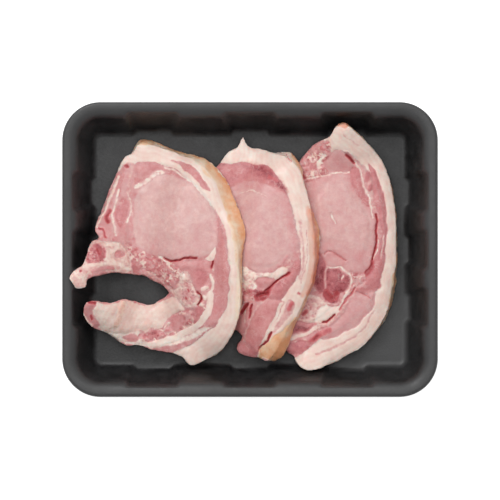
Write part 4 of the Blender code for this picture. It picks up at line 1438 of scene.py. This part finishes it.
chop_pieces = {}
chop_pieces.update(dress_chop(
    "right", ("right_chop_lean", "right_chop_fat", "right_chop_rib"), RIGHT_TISSUES,
    (RIGHT_RIND, RIGHT_SLANT),
    (RIGHT_FAT_SEAM, RIGHT_RIB_SEAM),
    {"right_chop_lean": (57, 12), "right_chop_fat": (88, 0), "right_chop_rib": (30, -38)}, 100))
chop_pieces.update(dress_chop(
    "middle", ("middle_chop_lean", "middle_chop_fat"), MIDDLE_TISSUES,
    (MIDDLE_RIND, MIDDLE_SLANT),
    (MIDDLE_FAT_SEAM,), {"middle_chop_lean": (8, 10), "middle_chop_fat": (36, 0)}, 200))
chop_pieces.update(dress_chop(
    "left", ("left_chop_lean", "left_chop_fat", "left_chop_backbone", "left_chop_rib"), LEFT_TISSUES,
    (LEFT_RIND, LEFT_SLANT), (LEFT_FAT_SEAM, LEFT_BACKBONE_SEAM, LEFT_RIB_SEAM),
    {"left_chop_lean": (-45, 18), "left_chop_fat": (-11, -20), "left_chop_backbone": (-97, -3),
     "left_chop_rib": (-40, -25)}, 300))

# %% [markdown]
# ## Muscle
#
# Cut across, the muscle of a loin chop is a fine grain of fibre ends, mottled in tone, with thin pale
# threads of fat between the bundles. The tone painted on the mesh picks the colour from a ramp that runs
# from pale pink to dark red. Lean, fat and bone pieces all use this group, so that colours meet exactly at
# their seams.

# %% The muscle group
FLOAT = "NodeSocketFloat"
COLOUR = "NodeSocketColor"
VECTOR = "NodeSocketVector"
LEAN_COLOURS = (
    (0.00, (232, 196, 190)),
    (0.14, (224, 181, 176)),
    (0.32, (217, 163, 161)),
    (0.48, (214, 149, 148)),
    (0.64, (206, 130, 131)),
    (0.80, (190, 108, 112)),
    (0.92, (168, 82, 88)),
    (1.00, (136, 48, 54)),
)
NET_SPACING = 5.5 * MM
NET_BEND = 7 * MM
THREAD_COLOUR = linear(232, 203, 196)


def thread_net(tree, place):
    """How far each place is from the threads of an uneven net, in cells."""
    noise = add(tree, "ShaderNodeTexNoise", {"Vector": place, "Scale": 1 / (4 * MM), "Detail": 2.0})
    centred = add(tree, "ShaderNodeVectorMath", {0: noise.outputs["Color"], 1: (0.5, 0.5, 0.5)},
                  operation="SUBTRACT")
    shift = add(tree, "ShaderNodeVectorMath", {0: centred.outputs[0], "Scale": NET_BEND}, operation="SCALE")
    bent = add(tree, "ShaderNodeVectorMath", {0: place, 1: shift.outputs[0]}, operation="ADD")
    return add(tree, "ShaderNodeTexVoronoi", {"Vector": bent.outputs[0], "Scale": 1 / NET_SPACING},
               feature="DISTANCE_TO_EDGE").outputs["Distance"]


def muscle_group():
    """Colour and grain of cut muscle."""
    group, given, result = new_group(
        "cut_muscle", [("Place", VECTOR), ("Tone", FLOAT), ("Blood", FLOAT)],
        [("Colour", COLOUR), ("Grain", FLOAT)])
    place = given.outputs["Place"]
    grain = speckle(group, place, 0.9 * MM, 3)
    mottle = speckle(group, place, 6 * MM, 3)
    bundle = speckle(group, place, 2.4 * MM, 2)
    waves = plus(group, times(group, remap(group, mottle, 0.3, 0.7, -1, 1), 0.07),
                 times(group, remap(group, bundle, 0.3, 0.7, -1, 1), 0.05))
    fine = times(group, remap(group, grain, 0.3, 0.7, -1, 1), 0.04)
    tone = plus(group, given.outputs["Tone"], plus(group, waves, fine))
    tone = plus(group, tone, times(group, given.outputs["Blood"], 0.35))
    thread = remap(group, thread_net(group, place), 0.0, 0.07, 1, 0)
    patchy = remap(group, speckle(group, place, 9 * MM), 0.45, 0.62)
    strong = remap(group, given.outputs["Tone"], 0.05, 0.5, 0.1, 0.28)
    thread = times(group, times(group, thread, patchy), strong)
    colour = blend(group, thread, ramp(group, tone, LEAN_COLOURS), THREAD_COLOUR)
    group.links.new(colour, result.inputs["Colour"])
    group.links.new(plus(group, grain, bundle), result.inputs["Grain"])
    return group


cut_muscle = muscle_group()
print(cut_muscle.name, "has", len(cut_muscle.nodes), "nodes")

# %% [markdown]
# ## Fat
#
# Pork fat is cream white, a little pink where it lies near the muscle, and laid down in layers that run
# along the skin. The depth behind the skin drives those layers, bent by noise.

# %% The fat group
FAT_COLOUR = linear(246, 231, 219)
PINK_FAT_COLOUR = linear(235, 198, 186)
LAYER_WAVES = 21.0


def fat_group():
    """Colour and grain of pork fat."""
    group, given, result = new_group(
        "pork_fat", [("Place", VECTOR), ("Tone", FLOAT), ("Depth", FLOAT)],
        [("Colour", COLOUR), ("Grain", FLOAT)])
    place = given.outputs["Place"]
    soft = speckle(group, place, 7 * MM, 3)
    fine = speckle(group, place, 1.4 * MM, 3)
    layer = plus(group, given.outputs["Depth"], times(group, soft, 0.25))
    wave = maths(group, "SINE", times(group, layer, LAYER_WAVES))
    wave = plus(group, times(group, wave, 0.16), times(group, fine, 0.5))
    pink = plus(group, remap(group, soft, 0.35, 0.65, 0.0, 0.4), times(group, wave, 0.6))
    pink = plus(group, pink, remap(group, given.outputs["Tone"], 0.3, 0.6, -0.2, 0.4))
    colour = blend(group, pink, FAT_COLOUR, PINK_FAT_COLOUR)
    group.links.new(colour, result.inputs["Colour"])
    group.links.new(plus(group, fine, wave), result.inputs["Grain"])
    return group


pork_fat = fat_group()
print(pork_fat.name, "has", len(pork_fat.nodes), "nodes")

# %% [markdown]
# ## Flesh: lean, fat and bone together
#
# One more group joins muscle and fat by the painted share of fat, with noise at the edge so that it
# frays, and adds sawn bone: a honeycomb of red pores in a pale ground.

# %% The flesh group
PORE_COLOUR = linear(158, 74, 80)
FRESH_BLOOD = linear(208, 84, 88)
OLD_BLOOD = linear(148, 40, 46)
TAN_TINT = (1.0, 0.86, 0.62, 1)


def flesh_group():
    """Colour, height and roughness of muscle, fat and bone by their painted shares."""
    group, given, result = new_group(
        "flesh", [("Place", VECTOR), ("Tone", FLOAT), ("Fat", FLOAT), ("Blood", FLOAT), ("Bone", FLOAT),
                  ("Rough", FLOAT), ("Warm", FLOAT), ("Depth", FLOAT)],
        [("Colour", COLOUR), ("Height", FLOAT), ("Roughness", FLOAT)])
    place = given.outputs["Place"]
    ragged = given.outputs["Rough"]
    clot = remap(group, speckle(group, place, 2.6 * MM, 3), 0.36, 0.64, -1, 1)
    tone = plus(group, given.outputs["Tone"], times(group, times(group, clot, ragged), 0.3))
    muscle = use_group(group, cut_muscle, {"Place": place, "Tone": tone, "Blood": given.outputs["Blood"]})
    fat = use_group(group, pork_fat, {"Place": place, "Tone": given.outputs["Tone"],
                                      "Depth": given.outputs["Depth"]})
    wisp = remap(group, thread_net(group, place), 0.02, 0.17, 0.8, 0)
    wisp = times(group, wisp, remap(group, speckle(group, place, 6 * MM, 2), 0.4, 0.6))
    fleck = remap(group, speckle(group, place, 3.0 * MM, 3), 0.42, 0.68, -0.15, 0.45)
    torn = times(group, plus(group, wisp, fleck), ragged)
    fray = times(group, maths(group, "SUBTRACT", speckle(group, place, 1.8 * MM, 4), 0.5), 0.9)
    share = plus(group, plus(group, given.outputs["Fat"], fray), torn)
    share = remap(group, share, 0.12, 0.88)
    colour = blend(group, share, muscle.outputs["Colour"], fat.outputs["Colour"])
    pores = add(group, "ShaderNodeTexVoronoi", {"Vector": place, "Scale": 1 / (1.7 * MM)})
    pore = remap(group, pores.outputs["Distance"], 0.15, 0.55, 1, 0)
    pore_strength = remap(group, speckle(group, place, 4 * MM), 0.35, 0.6, 0.2, 0.9)
    spongy = blend(group, times(group, pore, pore_strength), colour, PORE_COLOUR)
    colour = blend(group, times(group, given.outputs["Bone"], 0.9), colour, spongy)
    fresh = remap(group, given.outputs["Blood"], 0.04, 0.3, 0, 0.5)
    colour = blend(group, fresh, colour, FRESH_BLOOD)
    colour = blend(group, remap(group, given.outputs["Blood"], 0.28, 0.95, 0, 0.85), colour, OLD_BLOOD)
    tanned = add(group, "ShaderNodeMix", {6: colour, 7: TAN_TINT}, data_type="RGBA", blend_type="MULTIPLY")
    group.links.new(times(group, given.outputs["Warm"], 0.7), tanned.inputs[0])
    pits = times(group, times(group, pore, given.outputs["Bone"]), -1.5)
    height = plus(group, muscle.outputs["Grain"], pits)
    height = plus(group, height, times(group, torn, 1.5))
    shine = remap(group, speckle(group, place, 5 * MM, 3), 0.3, 0.7, 0.30, 0.48)
    group.links.new(tanned.outputs[2], result.inputs["Colour"])
    group.links.new(height, result.inputs["Height"])
    group.links.new(shine, result.inputs["Roughness"])
    return group


flesh = flesh_group()
print(flesh.name, "has", len(flesh.nodes), "nodes")

# %% [markdown]
# ## Rind
#
# Scalded skin is tan to pink, smooth and slightly translucent, with faint pores and darker stains. The
# fat pieces need it only on their outer side, where the painted rind value is high.

# %% The look of the rind
RIND_COLOURS = (
    (0.20, (243, 220, 198)),
    (0.50, (237, 200, 168)),
    (0.80, (236, 178, 138)),
    (1.00, (232, 164, 118)),
)
RIND_PORE = linear(190, 132, 106)
RAW_RIND = linear(240, 112, 92)


def painted(tree, name):
    """The values that were painted on the mesh under this name."""
    return add(tree, "ShaderNodeAttribute", attribute_name=name).outputs["Fac"]


def add_rind(tree, place, flesh_colour):
    """The flesh's colour with skin over it where the mesh is painted as rind."""
    stain = remap(tree, speckle(tree, place, 12 * MM, 3), 0.3, 0.7, -0.22, 0.22)
    fine = remap(tree, speckle(tree, place, 2.5 * MM, 2), 0.3, 0.7, -0.08, 0.08)
    across = plus(tree, painted(tree, "rind"), plus(tree, stain, fine))
    pores = remap(tree, speckle(tree, place, 1.1 * MM, 2), 0.62, 0.75, 0, 0.3)
    skin = blend(tree, pores, ramp(tree, across, RIND_COLOURS), RIND_PORE)
    skin = blend(tree, painted(tree, "blood"), skin, RAW_RIND)
    return blend(tree, remap(tree, painted(tree, "rind"), 0.05, 0.35), flesh_colour, skin)


print("rind runs through", len(RIND_COLOURS), "colours")

# %% [markdown]
# ## Wet meat
#
# Raw meat is moist and lets light in a little, red light furthest, which takes the hardness out of its
# edges. Lean, fat and bone share one shader built round the flesh group. Only the fat's has rind.

# %% Wet meat materials
TRANSLUCENT_SHARE = 0.3
LIGHT_REACH = (1.0, 0.45, 0.35)
LIGHT_DEPTH = 2.5 * MM


def meat_material(name, rind=False):
    """Flesh with the attributes of its mesh, on a moist and slightly translucent shader."""
    made, tree, shader, place = new_material(name)
    fields = {field.capitalize(): painted(tree, field) for field in PAINTED if field not in ("rind", "skin")}
    look = use_group(tree, flesh, {"Place": place, **fields})
    colour = look.outputs["Colour"]
    if rind:
        colour = add_rind(tree, place, colour)
    tree.links.new(colour, shader.inputs["Base Color"])
    tree.links.new(look.outputs["Roughness"], shader.inputs["Roughness"])
    bump = add(tree, "ShaderNodeBump", {"Height": look.outputs["Height"], "Strength": 0.35,
                                        "Distance": 0.22 * MM})
    tree.links.new(bump.outputs["Normal"], shader.inputs["Normal"])
    shader.inputs["Subsurface Weight"].default_value = TRANSLUCENT_SHARE
    shader.inputs["Subsurface Radius"].default_value = LIGHT_REACH
    shader.inputs["Subsurface Scale"].default_value = LIGHT_DEPTH
    shader.inputs["Specular IOR Level"].default_value = 0.45
    print(name, "has", len(tree.nodes), "nodes")
    return made


lean_material = meat_material("raw_lean")
fat_material = meat_material("fat_and_rind", rind=True)
bone_material = meat_material("sawn_bone")

# %% [markdown]
# ## Put the pieces in their places
#
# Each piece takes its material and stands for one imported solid. All ride on the tray's body, as nothing
# in the pack moves.

# %% Give each piece its material and its place in the frame
FINISHES = {"lean": (lean_material, "lean"), "fat": (fat_material, "fat"),
            "backbone": (bone_material, "bone"), "rib": (bone_material, "bone")}

for node, piece in chop_pieces.items():
    finish, slot = FINISHES[node.split("_")[-1]]
    piece.data.materials.clear()
    piece.data.materials.append(finish)
    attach(piece, "root")
    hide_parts(node)
    print(piece.name, "stands for", node, "as", slot)
